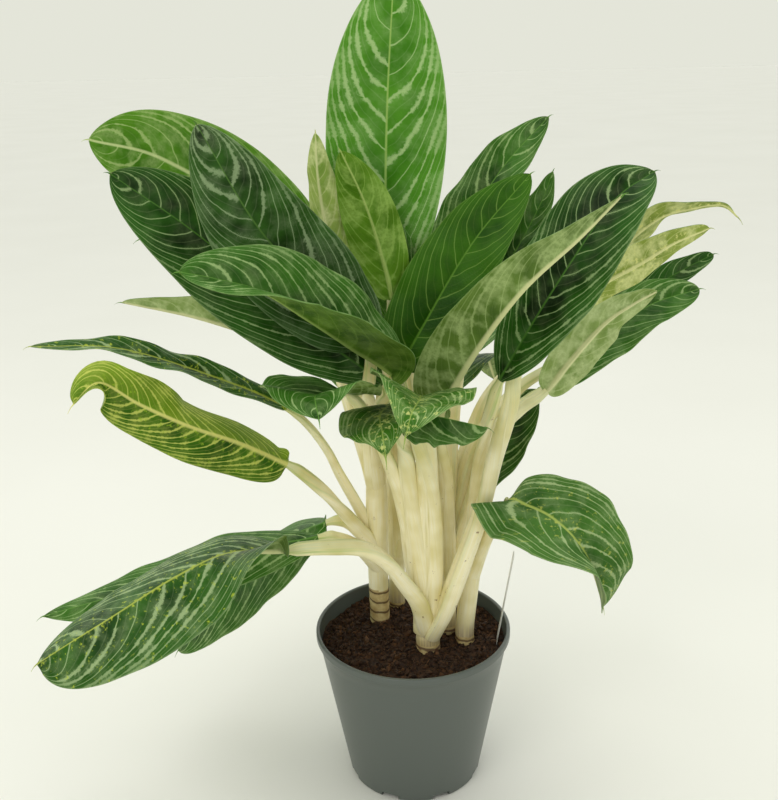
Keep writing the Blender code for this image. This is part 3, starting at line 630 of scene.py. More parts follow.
@dataclass
class Shape:
    """A mesh in the making: points in millimetres, faces, and values at the points."""

    points: np.ndarray
    faces: list[tuple[int, ...]]
    skins: list[int]
    values: dict[str, np.ndarray]

    @staticmethod
    def joined(shapes: list["Shape"]) -> "Shape":
        """Put several shapes that carry the same values into one."""
        starts = np.cumsum([0] + [len(shape.points) for shape in shapes])
        faces = [tuple(int(start) + corner for corner in face)
                 for start, shape in zip(starts, shapes) for face in shape.faces]
        values = {name: np.concatenate([shape.values[name] for shape in shapes])
                  for name in shapes[0].values}
        return Shape(np.vstack([shape.points for shape in shapes]), faces,
                     [skin for shape in shapes for skin in shape.skins], values)

    @staticmethod
    def spread(values: Values, rows: int, columns: int) -> dict[str, np.ndarray]:
        """Spread values, given as (row, column) or (row, column, axis), over a grid's points."""
        axes = {name: np.shape(value)[2:] for name, value in values.items()}
        return {name: np.broadcast_to(value, (rows, columns, *axes[name]))
                .reshape(rows * columns, *axes[name]) for name, value in values.items()}

    @staticmethod
    def lofted(rings: np.ndarray, values: Values) -> "Shape":
        """Skin closed rings of points into one closed body.

        Args:
            rings: Points as (ring, corner, axis).
            values: The values at the points, as (ring, corner) or (ring, corner, axis).

        Returns:
            The shape, with a flat cap at either end.
        """
        count, corners = rings.shape[:2]
        following = [(corner + 1) % corners for corner in range(corners)]
        faces = [(row * corners + corner, row * corners + following[corner],
                  (row + 1) * corners + following[corner], (row + 1) * corners + corner)
                 for row in range(count - 1) for corner in range(corners)]
        faces.append(tuple(reversed(range(corners))))
        faces.append(tuple(range((count - 1) * corners, count * corners)))
        return Shape(rings.reshape(-1, 3), faces, [0] * len(faces),
                     Shape.spread(values, count, corners))

    @staticmethod
    def shell(upper: np.ndarray, lower: np.ndarray, values: Values) -> "Shape":
        """Close two grids of points into one shell.

        Args:
            upper: The upper face's points as (row, column, axis).
            lower: The underside's points.
            values: The values at the points of either, as (row, column) or with an axis.

        Returns:
            The shell, upper face and rim with skin 0 and underside with skin 1.
        """
        rows, columns = upper.shape[:2]
        under = rows * columns
        spots = np.arange(under).reshape(rows, columns)
        top = np.stack([spots[:-1, :-1].ravel(), spots[:-1, 1:].ravel(),
                        spots[1:, 1:].ravel(), spots[1:, :-1].ravel()], axis=1)
        back = top[:, ::-1] + under
        edges = np.concatenate((
            np.stack((spots[0, 1:], spots[0, :-1]), axis=1),
            np.stack((spots[-1, :-1], spots[-1, 1:]), axis=1),
            np.stack((spots[:-1, 0], spots[1:, 0]), axis=1),
            np.stack((spots[1:, -1], spots[:-1, -1]), axis=1)))
        rim = np.stack((edges[:, 0], edges[:, 1], edges[:, 1] + under, edges[:, 0] + under),
                       axis=1)
        faces = [tuple(face) for face in np.concatenate((top, rim, back)).tolist()]
        skins = [0] * (len(top) + len(rim)) + [1] * len(back)
        doubled = {name: np.concatenate((value, value))
                   for name, value in Shape.spread(values, rows, columns).items()}
        points = np.concatenate((upper.reshape(-1, 3), lower.reshape(-1, 3)))
        return Shape(points, faces, skins, doubled)

    def mesh(self, name: str) -> bpy.types.Mesh:
        """Turn the shape into a smooth-shaded mesh with sharp creases."""
        made = bpy.data.meshes.new(name)
        made.from_pydata((self.points * MM).tolist(), [], self.faces)
        made.polygons.foreach_set("material_index", self.skins)
        for label, value in self.values.items():
            kind, key = ("FLOAT_VECTOR", "vector") if value.ndim > 1 else ("FLOAT", "value")
            layer = made.attributes.new(label, kind, "POINT")
            layer.data.foreach_set(key, value.astype(np.float32).ravel())
        made.shade_smooth()
        made.set_sharp_from_angle(angle=CREASE)
        made.update()
        return made

    def piece(self, name: str, slot: Slot, skins: list[bpy.types.Material],
              stands_for: str) -> bpy.types.Object:
        """Make the shape a piece of the plant.

        Args:
            name: The piece's name.
            slot: Not used.
            skins: Its materials.
            stands_for: The CAD node that it replaces.

        Returns:
            The piece, riding on the plant's one body.
        """
        made = placed(name, self.mesh(name))
        for skin in skins:
            made.data.materials.append(skin)
        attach(made, BODY)
        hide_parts(stands_for)
        LOG.info("%s: %d faces", name, len(made.data.polygons))
        return made


@dataclass(frozen=True)
class Leaf:
    """A leaf: its stalk and midrib as points, the attitude of its blade, and its colouring.

    faces are directions out of the upper face, from the blade's base to its tip. folds are
    the degrees by which the left and right halves rise from flat, evenly spaced from base to
    tip, curls how much more they rise by the edge, wave the edge's rise and fall in
    millimetres with its count, and lobes how far in millimetres the halves reach back behind
    the blade's base. widest is where the blade is widest, and power how pointed it is.
    """

    name: str
    shoot: str
    stalk: Points
    rib: Points
    half_width: float
    faces: Points
    folds: tuple[Pair, ...] = ((14.0, 14.0),)
    curls: Pair = (-10.0, -10.0)
    wave: Pair = (3.0, 3.0)
    lobes: Pair = (4.0, 4.0)
    widest: float = 0.42
    power: float = 0.62
    girth: float = 1.0
    top: Tint = Tint.DEEP
    back: Tint = Tint.SAGE_BACK

    def paths(self) -> tuple[np.ndarray, np.ndarray]:
        """Return the stalk's path and the midrib's, one smooth curve cut at the blade."""
        steps = 12
        whole = smooth_path(np.array(self.stalk + self.rib, dtype=float), steps)
        cut = len(self.stalk) * steps
        return whole[:cut + 1], whole[cut:]

    def seed(self) -> float:
        """Return a number of the leaf's own, for its markings."""
        return float(sum(ord(letter) * (place + 1) for place, letter in enumerate(self.name))
                     % 97)


@dataclass(frozen=True)
class Blade:
    """A leaf blade: a waved shell between two skins, over a midrib raised underneath.

    Lengths are in millimetres. lags are how far the right edge's waves and ripples are
    behind the left's, in radians, and leans_from is where the halves begin to rise.
    """

    leaf: Leaf
    rows: int = 92
    columns: int = 13
    window: float = 0.045
    thickness: float = 0.8
    tip_half_width: float = 0.7
    rib_height: float = 3.2
    rib_half_width: float = 2.6
    collar_thickness: float = 4.5
    collar_length: float = 22.0
    groove: float = 0.6
    groove_half_width: float = 1.8
    quilt: float = 0.35
    quilted_from: float = 30.0
    leans_from: Pair = (-4.0, 10.0)
    lags: Pair = (1.7, 2.3)
    ripple: float = 1.0
    ripples: float = 6.3
    sway: float = 1.2
    sway_mm: float = 55.0
    drip_mm: float = 9.0
    drip_radius: float = 1.0
    drip_corners: int = 8
    drip_droop: float = 0.05
    slant: float = 0.9
    sweep: float = 1.5

    def outline(self, places: np.ndarray) -> np.ndarray:
        """Return the half widths at shares of the blade's length."""
        skewed = places ** (math.log(0.5) / math.log(self.leaf.widest))
        full = np.clip(4.0 * skewed * (1.0 - skewed), 0.0, 1.0)
        return self.leaf.half_width * full ** self.leaf.power

    def veins(self, column: np.ndarray, place: np.ndarray,
              run: np.ndarray) -> tuple[np.ndarray, np.ndarray]:
        """Number the side veins, so that each runs where the value is a whole number.

        Each leaves the midrib at a slant and bends ahead until it runs along the margin.

        Args:
            column: Shares of the way from the midrib to the edge.
            place: Shares along the midrib.
            run: Distances along the midrib.

        Returns:
            The veins' numbers at the points, and the distance from one vein to the next.
        """
        pitch = self.leaf.top.value.pitch_mm
        start = self.slant * column * np.sin(np.pi * place)
        ahead = self.leaf.half_width * (start + self.sweep * column ** 3)
        slope = self.slant + 3.0 * self.sweep * column ** 2
        return (run - ahead) / pitch, pitch / np.hypot(1.0, slope) ** 0.8

    def shape(self) -> Shape:
        """Build the blade's closed shell."""
        leaf = self.leaf
        seed = leaf.seed()
        path = leaf.paths()[1]
        even = np.linspace(0.0, 1.0, self.rows + 1)
        places = 0.4 * even + 0.6 * (0.5 - 0.5 * np.cos(np.pi * even))
        ahead = heading(path, places, self.window)
        across = unit(np.cross(ahead, read_graph(leaf.faces, places)))
        upward = np.cross(across, ahead)
        step = (np.arange(1, self.columns + 1) / self.columns) ** 1.2
        signed = np.concatenate((-step[::-1], [0.0], step))
        side, column = np.sign(signed)[None], np.abs(signed)[None]
        half = (signed > 0).astype(int)
        place = places[:, None]
        run = place * path_length(path)
        calm = np.sin(np.pi * place)
        settle = smooth_step(0.0, self.quilted_from, run)
        lean = (np.radians(read_graph(leaf.folds, places)[:, half])
                + np.radians(leaf.curls)[half] * column / 2) * smooth_step(*self.leans_from, run)
        reach = column * np.maximum(self.outline(place), np.where(
            place < 0.5, COLLAR_HALF_WIDTH, self.tip_half_width))
        vein, gap = self.veins(column, place, run)
        rise = leaf.wave[0] * column ** 2 * calm * np.sin(
            2 * np.pi * leaf.wave[1] * place + half * self.lags[0])
        rise += self.ripple * column ** 3 * calm * np.sin(
            2 * np.pi * self.ripples * place + seed + half * self.lags[1])
        rise += self.quilt * np.cos(2 * np.pi * vein) * np.sin(np.pi * column) * settle
        start = np.sqrt(np.clip(place * 12.0, 0.0, 1.0))
        back = np.array(leaf.lobes)[half] * column * (1.0 - place) ** 3 * start
        collar = (1.0 - smooth_step(0.0, self.collar_length, run))
        round_off = np.sqrt(np.clip(1.0 - (reach / COLLAR_HALF_WIDTH) ** 2, 0.0, 1.0))
        swell = (self.collar_thickness - self.thickness) * collar * round_off
        channel = self.groove * settle * (1.0 - 0.7 * place) * np.exp(
            -(reach / self.groove_half_width) ** 2)
        lift = reach * np.sin(lean) + rise + self.collar_thickness / 2 * collar * round_off
        upper = set_about(at_shares(path, places), across, upward,
                          side * reach * np.cos(lean), lift - channel)
        upper = upper - ahead[:, None] * back[..., None]
        normal = unit(np.cross(np.gradient(upper, axis=1), np.gradient(upper, axis=0)))
        drift = sway(upper.reshape(-1, 3), self.sway_mm, seed).reshape(upper.shape[:2])
        upper = upper + normal * (self.sway * drift * calm * column)[..., None]
        ridge = self.rib_height * (1.0 - place) ** 0.8 * (1.0 - collar)
        ridge = ridge * np.exp(-(reach / (self.rib_half_width * (1.15 - 0.6 * place))) ** 2)
        lower = upper - normal * (self.thickness + swell + ridge)[..., None]
        return Shape.shell(upper, lower, {
            "flat": laid_flat(reach * side, run, seed * 37.0), "vein": vein, "gap": gap,
            "across": signed[None], "along": place})

    def drip(self) -> Shape:
        """Build the drip tip: a fine point that runs on from the midrib and droops."""
        path = self.leaf.paths()[1]
        ahead = unit(path[-1] - path[-2])
        across = unit(np.cross(ahead, np.array(self.leaf.faces[-1])))
        upward = np.cross(across, ahead)
        reach = np.linspace(-0.3, 1.0, 9)[:, None] * self.drip_mm
        droop = self.drip_droop * np.maximum(reach, 0.0) ** 2 * np.array([[0.0, 0.0, -1.0]])
        spine = path[-1] + ahead * reach + droop - upward * self.thickness / 2
        radius = self.drip_radius * (1.0 - 0.75 * smooth_step(-0.3, 1.0, reach / self.drip_mm))
        angle = ring_angles(self.drip_corners)
        rings = set_about(spine, across[None], upward[None], np.sin(angle) * radius,
                          np.cos(angle) * radius * 0.6)
        return Shape.lofted(rings, {
            "flat": laid_flat(0.2, np.broadcast_to(reach, rings.shape[:2]), 1.0),
            "vein": 0.5, "gap": 20.0, "across": 0.1, "along": 0.9})

    def build(self, skins: dict[Tint, bpy.types.Material]) -> bpy.types.Object:
        """Make the blade a piece with its two skins."""
        leaf = self.leaf
        young = leaf.top in (Tint.YOUNG_PALE, Tint.YOUNG_GREEN)
        whole = Shape.joined([self.shape(), self.drip()])
        return whole.piece(leaf.name + "_blade", Slot.YOUNG if young else Slot.BLADE,
                           [skins[leaf.top], skins[leaf.back]], leaf.name)


@dataclass(frozen=True)
class Stalk:
    """A leaf stalk: a fleshy rod, flattened and channelled, with sheath wings low down.

    Lengths are in millimetres. The sheath ends, and the channel turns to the blade, between
    two shares of the stalk, and lips are the angle and spread of the channel's edges.
    """

    leaf: Leaf
    rows: int = 46
    corners: int = 26
    window: float = 0.04
    foot: float = 10.0
    top: float = 5.6
    taper: float = 1.6
    spread: float = 1.1
    depth: float = 0.9
    channel: float = 0.42
    shallow: float = 0.16
    wing: float = 0.16
    lumps: float = 0.02
    lips: Pair = (0.85, 0.24)
    channel_spread: float = 0.5
    sheath_ends: Pair = (0.42, 0.68)
    turns: Pair = (0.35, 1.0)
    collar_half_thickness: float = 2.3
    collar_run: float = 16.0

    def shape(self) -> Shape:
        """Build the stalk as a loft along its path."""
        leaf = self.leaf
        path = leaf.paths()[0]
        length = path_length(path)
        shares = np.linspace(0.0, 1.0, self.rows)
        spine = at_shares(path, shares)
        ahead = heading(path, shares, self.window)
        inward = (path[0] - path[-1]) * (1.0, 1.0, 0.0) + np.array(leaf.faces[0])
        turn = smooth_step(*self.turns, shares)[:, None]
        facing = unit(inward)[None] * (1.0 - turn) + unit(np.array(leaf.faces[0]))[None] * turn
        across = unit(np.cross(ahead, facing))
        upward = np.cross(across, ahead)
        angle = ring_angles(self.corners)
        share = shares[:, None]
        radius = (self.foot + (self.top - self.foot) * share ** self.taper) * leaf.girth
        low = 1.0 - smooth_step(*self.sheath_ends, share)
        end = smooth_step(length - self.collar_run, length, share * length)
        open_side = (self.channel * low + self.shallow * (1.0 - low)) * (1.0 - end)
        form = 1.0 - open_side * np.exp(-(angle / self.channel_spread) ** 2)
        lips = np.exp(-((np.abs(angle) - self.lips[0]) / self.lips[1]) ** 2)
        form = form + self.wing * low * lips * (1.0 - end)
        form = form * (1.0 + self.lumps * np.sin(3 * angle + share * 9.0 + leaf.seed()))
        wide = (self.spread * radius) * (1.0 - end) + COLLAR_HALF_WIDTH * end
        deep = (self.depth * radius) * (1.0 - end) + self.collar_half_thickness * end
        rings = set_about(spine, across, upward, np.sin(angle) * wide * form,
                          np.cos(angle) * deep * form)
        return Shape.lofted(rings, {
            "flat": laid_flat(angle * radius, share * length, leaf.seed() * 41.0),
            "along": share, "lips": lips * (0.35 + 0.65 * share), "stain": stain(spine)})


@dataclass(frozen=True)
class Shoot:
    """One cane with the sheathing leaf stalks that grow from it.

    Its leaf scars tilt by tilt_mm, and wander by wander_mm from one to the next.
    """

    name: str
    path: Points
    radii: tuple[float, ...]
    rows: int = 120
    corners: int = 28
    ring_step: float = 0.07
    tilt_mm: float = 1.5
    wander_mm: float = 1.2
    bark_top: float = 192.0

    def cane(self) -> Shape:
        """Build the cane, which has ringed bark up to bark_top and pale sheaths above it."""
        path = smooth_path(np.array(self.path, dtype=float), 3)
        shares = np.linspace(0.0, 1.0, self.rows)
        spine = at_shares(path, shares)
        ahead = unit(np.gradient(spine, axis=0))
        across = unit(np.cross(ahead, np.array([0.0, -1.0, 0.2])))
        upward = np.cross(across, ahead)
        angle = ring_angles(self.corners)
        rise = shares[:, None] * path_length(path)
        uneven = (rise + self.tilt_mm * np.sin(angle + RING_MM)
                  + self.wander_mm * np.sin(rise / 17.0))
        radius = read_graph(self.radii, shares)
        bark = spine[:, 2][:, None] < self.bark_top
        radius = radius * (1.0 + self.ring_step * bark * (uneven / RING_MM % 1.0 - 0.5))
        made = Shape.lofted(
            set_about(spine, across, upward, np.sin(angle) * radius, np.cos(angle) * radius),
            {"flat": laid_flat(angle * radius, uneven, self.radii[0] * 29.0),
             "along": 0.0, "lips": 0.0, "stain": stain(spine)})
        heights = [made.points[list(face), 2].mean() for face in made.faces]
        made.skins = [int(height < self.bark_top) for height in heights]
        return made

    def build(self, skin: bpy.types.Material, bark: bpy.types.Material) -> bpy.types.Object:
        """Make the cane and its leaves' stalks one piece."""
        stalks = [Stalk(leaf).shape() for leaf in LEAVES if leaf.shoot == self.name]
        whole = Shape.joined([self.cane()] + stalks)
        return whole.piece(self.name + "_stalks", Slot.STALK, [skin, bark], self.name)


SHOOTS = (
    Shoot("shoot_left", ((-42, 38, 150), (-42, 38, 185), (-42, 38, 205), (-43, 37, 280),
                         (-42, 33, 350), (-41, 28, 425)), (12.5, 12.5, 12.5, 14.0, 13.0, 5.0),
          bark_top=232.0),
    Shoot("shoot_front", ((18, -25, 150), (18, -25, 180), (18, -25, 192), (17, -22, 222)),
          (15.0, 15.0, 14.5, 6.0)),
    Shoot("shoot_middle", ((42, 14, 150), (42, 14, 185), (42, 14, 205), (44, 10, 300)),
          (12.0, 12.0, 12.0, 5.0)),
    Shoot("shoot_right", ((64, -9, 150), (64, -9, 185), (64, -9, 205), (71, -10, 275),
                          (77, -13, 330)), (11.5, 11.5, 11.5, 11.5, 5.0)),
    Shoot("shoot_rear", ((-20, 74, 150), (-20, 74, 185), (-20, 74, 205), (-19, 72, 300)),
          (10.5, 10.5, 10.5, 5.0)),
)

LEAVES = (
    # Low leaves on the left
    Leaf("leaf_left_low_front", "shoot_front",
         ((17, -24, 200), (8, -38, 250), (-10, -52, 288), (-29, -72, 326), (-55, -94, 354),
          (-88, -110, 364), (-114, -121, 369)),
         ((-136, -129, 371), (-192, -156, 383), (-242, -190, 374), (-301, -218, 346),
          (-347, -230, 321), (-378, -232, 301)),
         66, ((-0.1, -0.65, 0.7), (-0.4, -0.8, 0.5)),
         ((115.0, -42.0), (60.0, -42.0), (0.0, -42.0), (0.0, -42.0), (0.0, -42.0), (0.0, -42.0)),
         widest=0.5, power=0.4, girth=1.2, top=Tint.FLECKED),
    Leaf("leaf_left_low_middle", "shoot_left",
         ((-43, 34, 262), (-66, 22, 296), (-90, 8, 316)),
         ((-113, 0, 321), (-215, -30, 317), (-329, -60, 286), (-427, -80, 265)),
         46, ((0.1, -0.4, 0.9), (-0.1, -0.5, 0.85)), ((0.0, -18.0),), power=0.8),
    Leaf("leaf_left_low_back", "shoot_left",
         ((-43, 40, 268), (-62, 46, 300), (-82, 44, 320)),
         ((-106, 42, 320), (-153, 46, 299), (-213, 52, 243), (-269, 54, 182), (-309, 50, 134)),
         58, ((0.1, -0.6, 0.8), (-0.6, -0.6, 0.5)), ((14.0, -45.0), (14.0, -36.0)), power=0.55),
    Leaf("leaf_left_arched", "shoot_left",
         ((-44, 34, 288), (-66, 18, 326), (-95, -6, 376), (-120, -26, 412)),
         ((-140, -40, 434), (-186, -70, 472), (-233, -98, 503), (-278, -120, 536),
          (-311, -138, 566), (-334, -154, 550)),
         38, ((0.2, -0.9, 0.4), (-0.3, -0.9, 0.5), (-0.6, -0.8, 0.4)),
         ((5.0, -50.0), (5.0, -50.0), (10.0, -50.0), (35.0, -10.0), (50.0, 40.0)), widest=0.36,
         power=0.45, top=Tint.GILDED, back=Tint.PALE_BACK),
    Leaf("leaf_left_slender", "shoot_left",
         ((-44, 37, 296), (-66, 30, 350), (-84, 22, 392), (-98, 8, 432), (-118, -8, 470)),
         ((-140, -20, 494), (-190, -30, 525), (-304, -60, 578), (-393, -90, 592)),
         22, ((0.2, -0.3, 0.9), (-0.1, -0.2, 0.95)), girth=0.8, top=Tint.FLECKED),
    Leaf("leaf_left_underside", "shoot_left",
         ((-43, 33, 340), (-46, 30, 420), (-54, 26, 470)),
         ((-66, 20, 513), (-134, 0, 558), (-224, -20, 599), (-307, -40, 625)),
         27, ((0.3, 0.3, 0.9), (-0.1, 0.2, 0.95)), ((70.0, 15.0),),
         top=Tint.OLIVE, back=Tint.PALE_BACK),
    # Upper left group
    Leaf("leaf_upper_left_front", "shoot_front",
         ((15, -20, 205), (5, -20, 270), (-4, -18, 350), (-6, -20, 430), (-9, -26, 485)),
         ((-17, -36, 535), (-61, -80, 583), (-104, -112, 624), (-141, -142, 658),
          (-181, -168, 677), (-209, -188, 688)),
         60, ((0.2, -0.8, 0.55), (-0.2, -0.8, 0.55)),
         ((103.0, 8.0), (103.0, 8.0), (103.0, 8.0), (95.0, 8.0), (60.0, 5.0), (30.0, 5.0)),
         widest=0.38, girth=1.2, back=Tint.OLIVE_BACK),
    Leaf("leaf_upper_left_dark", "shoot_left",
         ((-42, 30, 350), (-38, 24, 430), (-34, 12, 480)),
         ((-31, 4, 513), (-109, -16, 584), (-213, -38, 690), (-299, -60, 763)),
         58, ((0.3, -0.9, 0.5), (-0.3, -0.8, 0.6)), lobes=(0.0, 0.0), widest=0.54,
         top=Tint.INK),
    Leaf("leaf_upper_left_tall", "shoot_left",
         ((-43, 22, 380), (-45, -4, 440), (-46, -20, 510)),
         ((-45, -26, 571), (-91, -46, 629), (-150, -76, 708), (-200, -98, 812)),
         56, ((0.3, -1.0, 0.3), (-0.2, -1.0, 0.4)), top=Tint.SILVER),
    Leaf("leaf_upper_left_back", "shoot_left",
         ((-43, 36, 380), (-48, 48, 450), (-56, 58, 520)),
         ((-66, 62, 559), (-168, 76, 688), (-271, 64, 763), (-343, 28, 790)),
         64, ((0.3, -0.9, 0.5), (-0.2, -0.9, 0.3)), ((5.0, 5.0),), widest=0.58, top=Tint.CREAM),
    Leaf("leaf_far_left_back", "shoot_left",
         ((-43, 38, 360), (-60, 62, 430), (-90, 84, 520)),
         ((-130, 95, 593), (-201, 112, 648), (-274, 122, 672), (-322, 116, 665)),
         40, ((0.2, -0.6, 0.8), (-0.4, -0.6, 0.7)), back=Tint.YELLOW_BACK),
    # Leaves that point at the viewer
    Leaf("leaf_front_left_lobed", "shoot_front",
         ((14, -20, 205), (4, -26, 300), (-14, -32, 400), (-45, -48, 490)),
         ((-69, -70, 529), (-88, -120, 542), (-91, -178, 562), (-85, -214, 552)),
         62, ((0.0, -0.3, 1.0), (0.0, -0.6, 0.8)), ((18.0, 14.0),), power=0.75, girth=1.2),
    Leaf("leaf_front_centre", "shoot_front",
         ((17, -24, 205), (18, -28, 300), (19, -38, 400), (17, -62, 480)),
         ((13, -80, 524), (9, -150, 545), (2, -200, 551), (-4, -216, 534)),
         58, ((0.0, -0.3, 1.0), (0.1, -0.7, 0.8)), ((20.0, 32.0),), power=1.0, girth=1.5,
         top=Tint.SPATTERED),
    Leaf("leaf_front_flecked", "shoot_front",
         ((16, -22, 205), (8, -30, 300), (-2, -38, 400), (-7, -50, 470)),
         ((-16, -72, 514), (-30, -126, 524), (-27, -172, 520), (-24, -190, 502)),
         46, ((-0.2, -0.5, 0.9), (-0.2, -0.8, 0.5)), ((0.0, 0.0),), power=1.15, girth=1.35,
         top=Tint.SPATTERED),
    Leaf("leaf_front_right_band", "shoot_front",
         ((19, -26, 205), (24, -32, 300), (22, -42, 400), (8, -66, 470)),
         ((0, -92, 500), (21, -120, 519), (49, -130, 517), (80, -120, 505)),
         30, ((0.0, -0.3, 0.95), (0.2, -0.3, 0.95)), ((-60.0, -50.0),), power=0.5, girth=1.25),
    # Centre and top
    Leaf("leaf_top", "shoot_rear",
         ((-20, 72, 250), (-21, 68, 330), (-23, 62, 430), (-23, 56, 520)),
         ((-23, 52, 578), (-24, 58, 692), (-19, 42, 819), (-9, 8, 948)),
         67, ((0.0, -1.0, 0.2), (0.0, -1.0, 0.3)), widest=0.55, top=Tint.BRIGHT),
    Leaf("leaf_young_pale", "shoot_left",
         ((-42, 32, 380), (-44, 30, 460), (-60, 30, 550)),
         ((-73, 28, 616), (-87, 18, 686), (-94, 8, 744), (-94, -5, 794)),
         21, ((0.3, 0.9, 0.2), (0.3, 0.9, 0.2)), ((30.0, 30.0),), girth=0.8,
         top=Tint.YOUNG_PALE, back=Tint.YOUNG_PALE),
    Leaf("leaf_young_green", "shoot_left",
         ((-42, 32, 370), (-36, 34, 450), (-26, 30, 550)),
         ((-19, 20, 608), (-30, 16, 666), (-46, 6, 722), (-68, -6, 775)),
         33, ((-0.2, 1.0, 0.2), (-0.2, 1.0, 0.2)), ((20.0, 20.0),), girth=0.8,
         top=Tint.YOUNG_GREEN, back=Tint.YOUNG_GREEN),
    Leaf("leaf_young_dark", "shoot_middle",
         ((42, 14, 260), (28, 24, 350), (12, 36, 440), (0, 42, 530)),
         ((-7, 40, 602), (-11, 37, 637), (-17, 33, 672), (-22, 26, 705)),
         24, ((0.3, -1.0, 0.2), (0.2, -1.0, 0.2)), girth=0.8),
    Leaf("leaf_top_right_olive", "shoot_middle",
         ((42, 10, 260), (32, 8, 350), (14, 4, 440), (-2, 0, 490)),
         ((-8, 0, 531), (22, 8, 589), (75, 20, 674), (136, 32, 743)),
         48, ((0.0, -0.95, 0.2), (-0.4, -0.85, 0.3)), widest=0.37, top=Tint.OLIVE),
    Leaf("leaf_top_right_back", "shoot_rear",
         ((-19, 70, 260), (-6, 82, 360), (8, 88, 460), (22, 90, 540)),
         ((35, 92, 590), (63, 110, 658), (111, 122, 736), (166, 122, 797)),
         42, ((-0.5, -0.7, 0.5), (-0.5, -0.7, 0.5))),
    Leaf("leaf_top_right_narrow", "shoot_middle",
         ((43, 14, 270), (46, 32, 360), (52, 52, 450), (62, 68, 520)),
         ((74, 80, 567), (123, 100, 635), (158, 110, 698), (172, 115, 735)),
         26, ((-0.6, -0.7, 0.4), (-0.6, -0.7, 0.4))),
    # Right side
    Leaf("leaf_right_big", "shoot_right",
         ((76, -12, 305), (79, -18, 380), (82, -26, 440), (90, -38, 492)),
         ((100, -46, 532), (124, -64, 588), (167, -76, 667), (208, -76, 729), (249, -62, 755)),
         50, ((-0.4, -0.8, 0.5), (-0.4, -0.8, 0.5)), widest=0.55, girth=1.1, top=Tint.INK),
    Leaf("leaf_right_crossing", "shoot_middle",
         ((43, 8, 270), (42, -2, 350), (40, -14, 410), (34, -30, 450)),
         ((32, -52, 488), (63, -94, 567), (110, -130, 648), (165, -138, 703), (205, -128, 741)),
         49, ((0.3, 0.9, 0.3), (0.3, 0.9, 0.3)), ((97.0, 6.0),), widest=0.28, power=1.0),
    Leaf("leaf_right_yellow", "shoot_front",
         ((22, -30, 205), (40, -40, 250), (64, -47, 325), (79, -50, 375), (94, -50, 440),
          (112, -38, 500)),
         ((123, -18, 548), (169, 0, 594), (214, 12, 622), (260, 24, 643), (299, 36, 663),
          (342, 54, 676)),
         27, ((0.4, 0.8, 0.5), (0.4, 0.8, 0.5)), power=0.5, girth=1.3,
         top=Tint.FLECKED, back=Tint.YELLOW_BACK),
    Leaf("leaf_far_right_pale", "shoot_middle",
         ((44, 16, 270), (58, 40, 370), (90, 76, 460), (138, 106, 510)),
         ((187, 124, 539), (250, 150, 619), (306, 160, 668), (350, 166, 681), (389, 167, 685),
          (409, 164, 670)),
         33, ((0.3, 0.6, 0.7), (0.2, 0.5, 0.8)), widest=0.4, power=1.3,
         top=Tint.FLECKED, back=Tint.YELLOW_BACK),
    Leaf("leaf_far_right_dark", "shoot_middle",
         ((44, 14, 280), (67, 38, 390), (95, 56, 445), (137, 76, 484)),
         ((187, 100, 508), (262, 128, 562), (326, 146, 600), (379, 154, 626)),
         22, ((-0.4, -0.7, 0.6), (-0.4, -0.7, 0.6)), power=0.4, top=Tint.INK),
    Leaf("leaf_right_sage", "shoot_right",
         ((76, -12, 310), (89, 4, 404), (103, 10, 447), (130, 15, 476)),
         ((160, 20, 496), (185, 26, 527), (225, 36, 570), (258, 44, 591), (287, 50, 605)),
         28, ((0.4, 0.8, 0.5), (0.4, 0.8, 0.5)), lobes=(10.0, 10.0), back=Tint.PALE_BACK),
    Leaf("leaf_right_veined", "shoot_middle",
         ((44, 12, 280), (72, 26, 369), (91, 38, 426), (124, 50, 460)),
         ((163, 60, 486), (228, 78, 535), (288, 92, 577), (349, 97, 596)),
         35, ((-0.4, -0.7, 0.6), (-0.4, -0.7, 0.6)), power=0.5, widest=0.5),
    Leaf("leaf_right_behind_stems", "shoot_middle",
         ((44, 20, 245), (42, 38, 290), (40, 58, 335)),
         ((46, 74, 359), (80, 84, 367), (119, 92, 410), (158, 96, 472)),
         40, ((-0.4, -0.7, 0.6), (-0.4, -0.7, 0.6)), lobes=(0.0, 0.0), girth=0.9, top=Tint.INK),
    Leaf("leaf_right_low", "shoot_right",
         ((70, -10, 262), (82, -22, 310), (95, -42, 356)),
         ((110, -60, 393), (132, -76, 394), (154, -92, 388), (177, -104, 369), (197, -108, 336),
          (215, -94, 277)),
         62, ((0.1, -0.4, 0.9), (0.4, -0.5, 0.8), (0.7, -0.6, 0.3)),
         ((14.0, 42.0), (14.0, -8.0), (20.0, 5.0), (36.0, 45.0), (48.0, 38.0), (35.0, 25.0)),
         lobes=(4.0, 50.0), girth=0.9, widest=0.38, top=Tint.STRIPED),
    # Leaves behind the middle
    Leaf("leaf_rear_left", "shoot_rear",
         ((-20, 76, 250), (-46, 102, 340), (-74, 126, 430)),
         ((-100, 150, 500), (-140, 190, 546), (-190, 250, 560), (-226, 300, 536)),
         42, ((-0.2, 0.3, 0.9), (-0.3, 0.5, 0.8))),
    Leaf("leaf_rear_middle", "shoot_rear",
         ((-19, 76, 260), (-20, 104, 360), (-18, 130, 450)),
         ((-12, 150, 515), (-10, 205, 565), (-12, 270, 570), (-16, 330, 530)),
         46, ((0.0, 0.3, 0.9), (0.0, 0.6, 0.8)), top=Tint.SILVER),
    Leaf("leaf_rear_right", "shoot_rear",
         ((-18, 74, 270), (8, 100, 350), (42, 126, 430)),
         ((72, 150, 496), (118, 196, 540), (164, 252, 540), (196, 300, 508)),
         42, ((0.2, 0.3, 0.9), (0.3, 0.5, 0.8))),
    Leaf("leaf_rear_low_left", "shoot_rear",
         ((-21, 78, 240), (-34, 110, 320), (-52, 140, 400)),
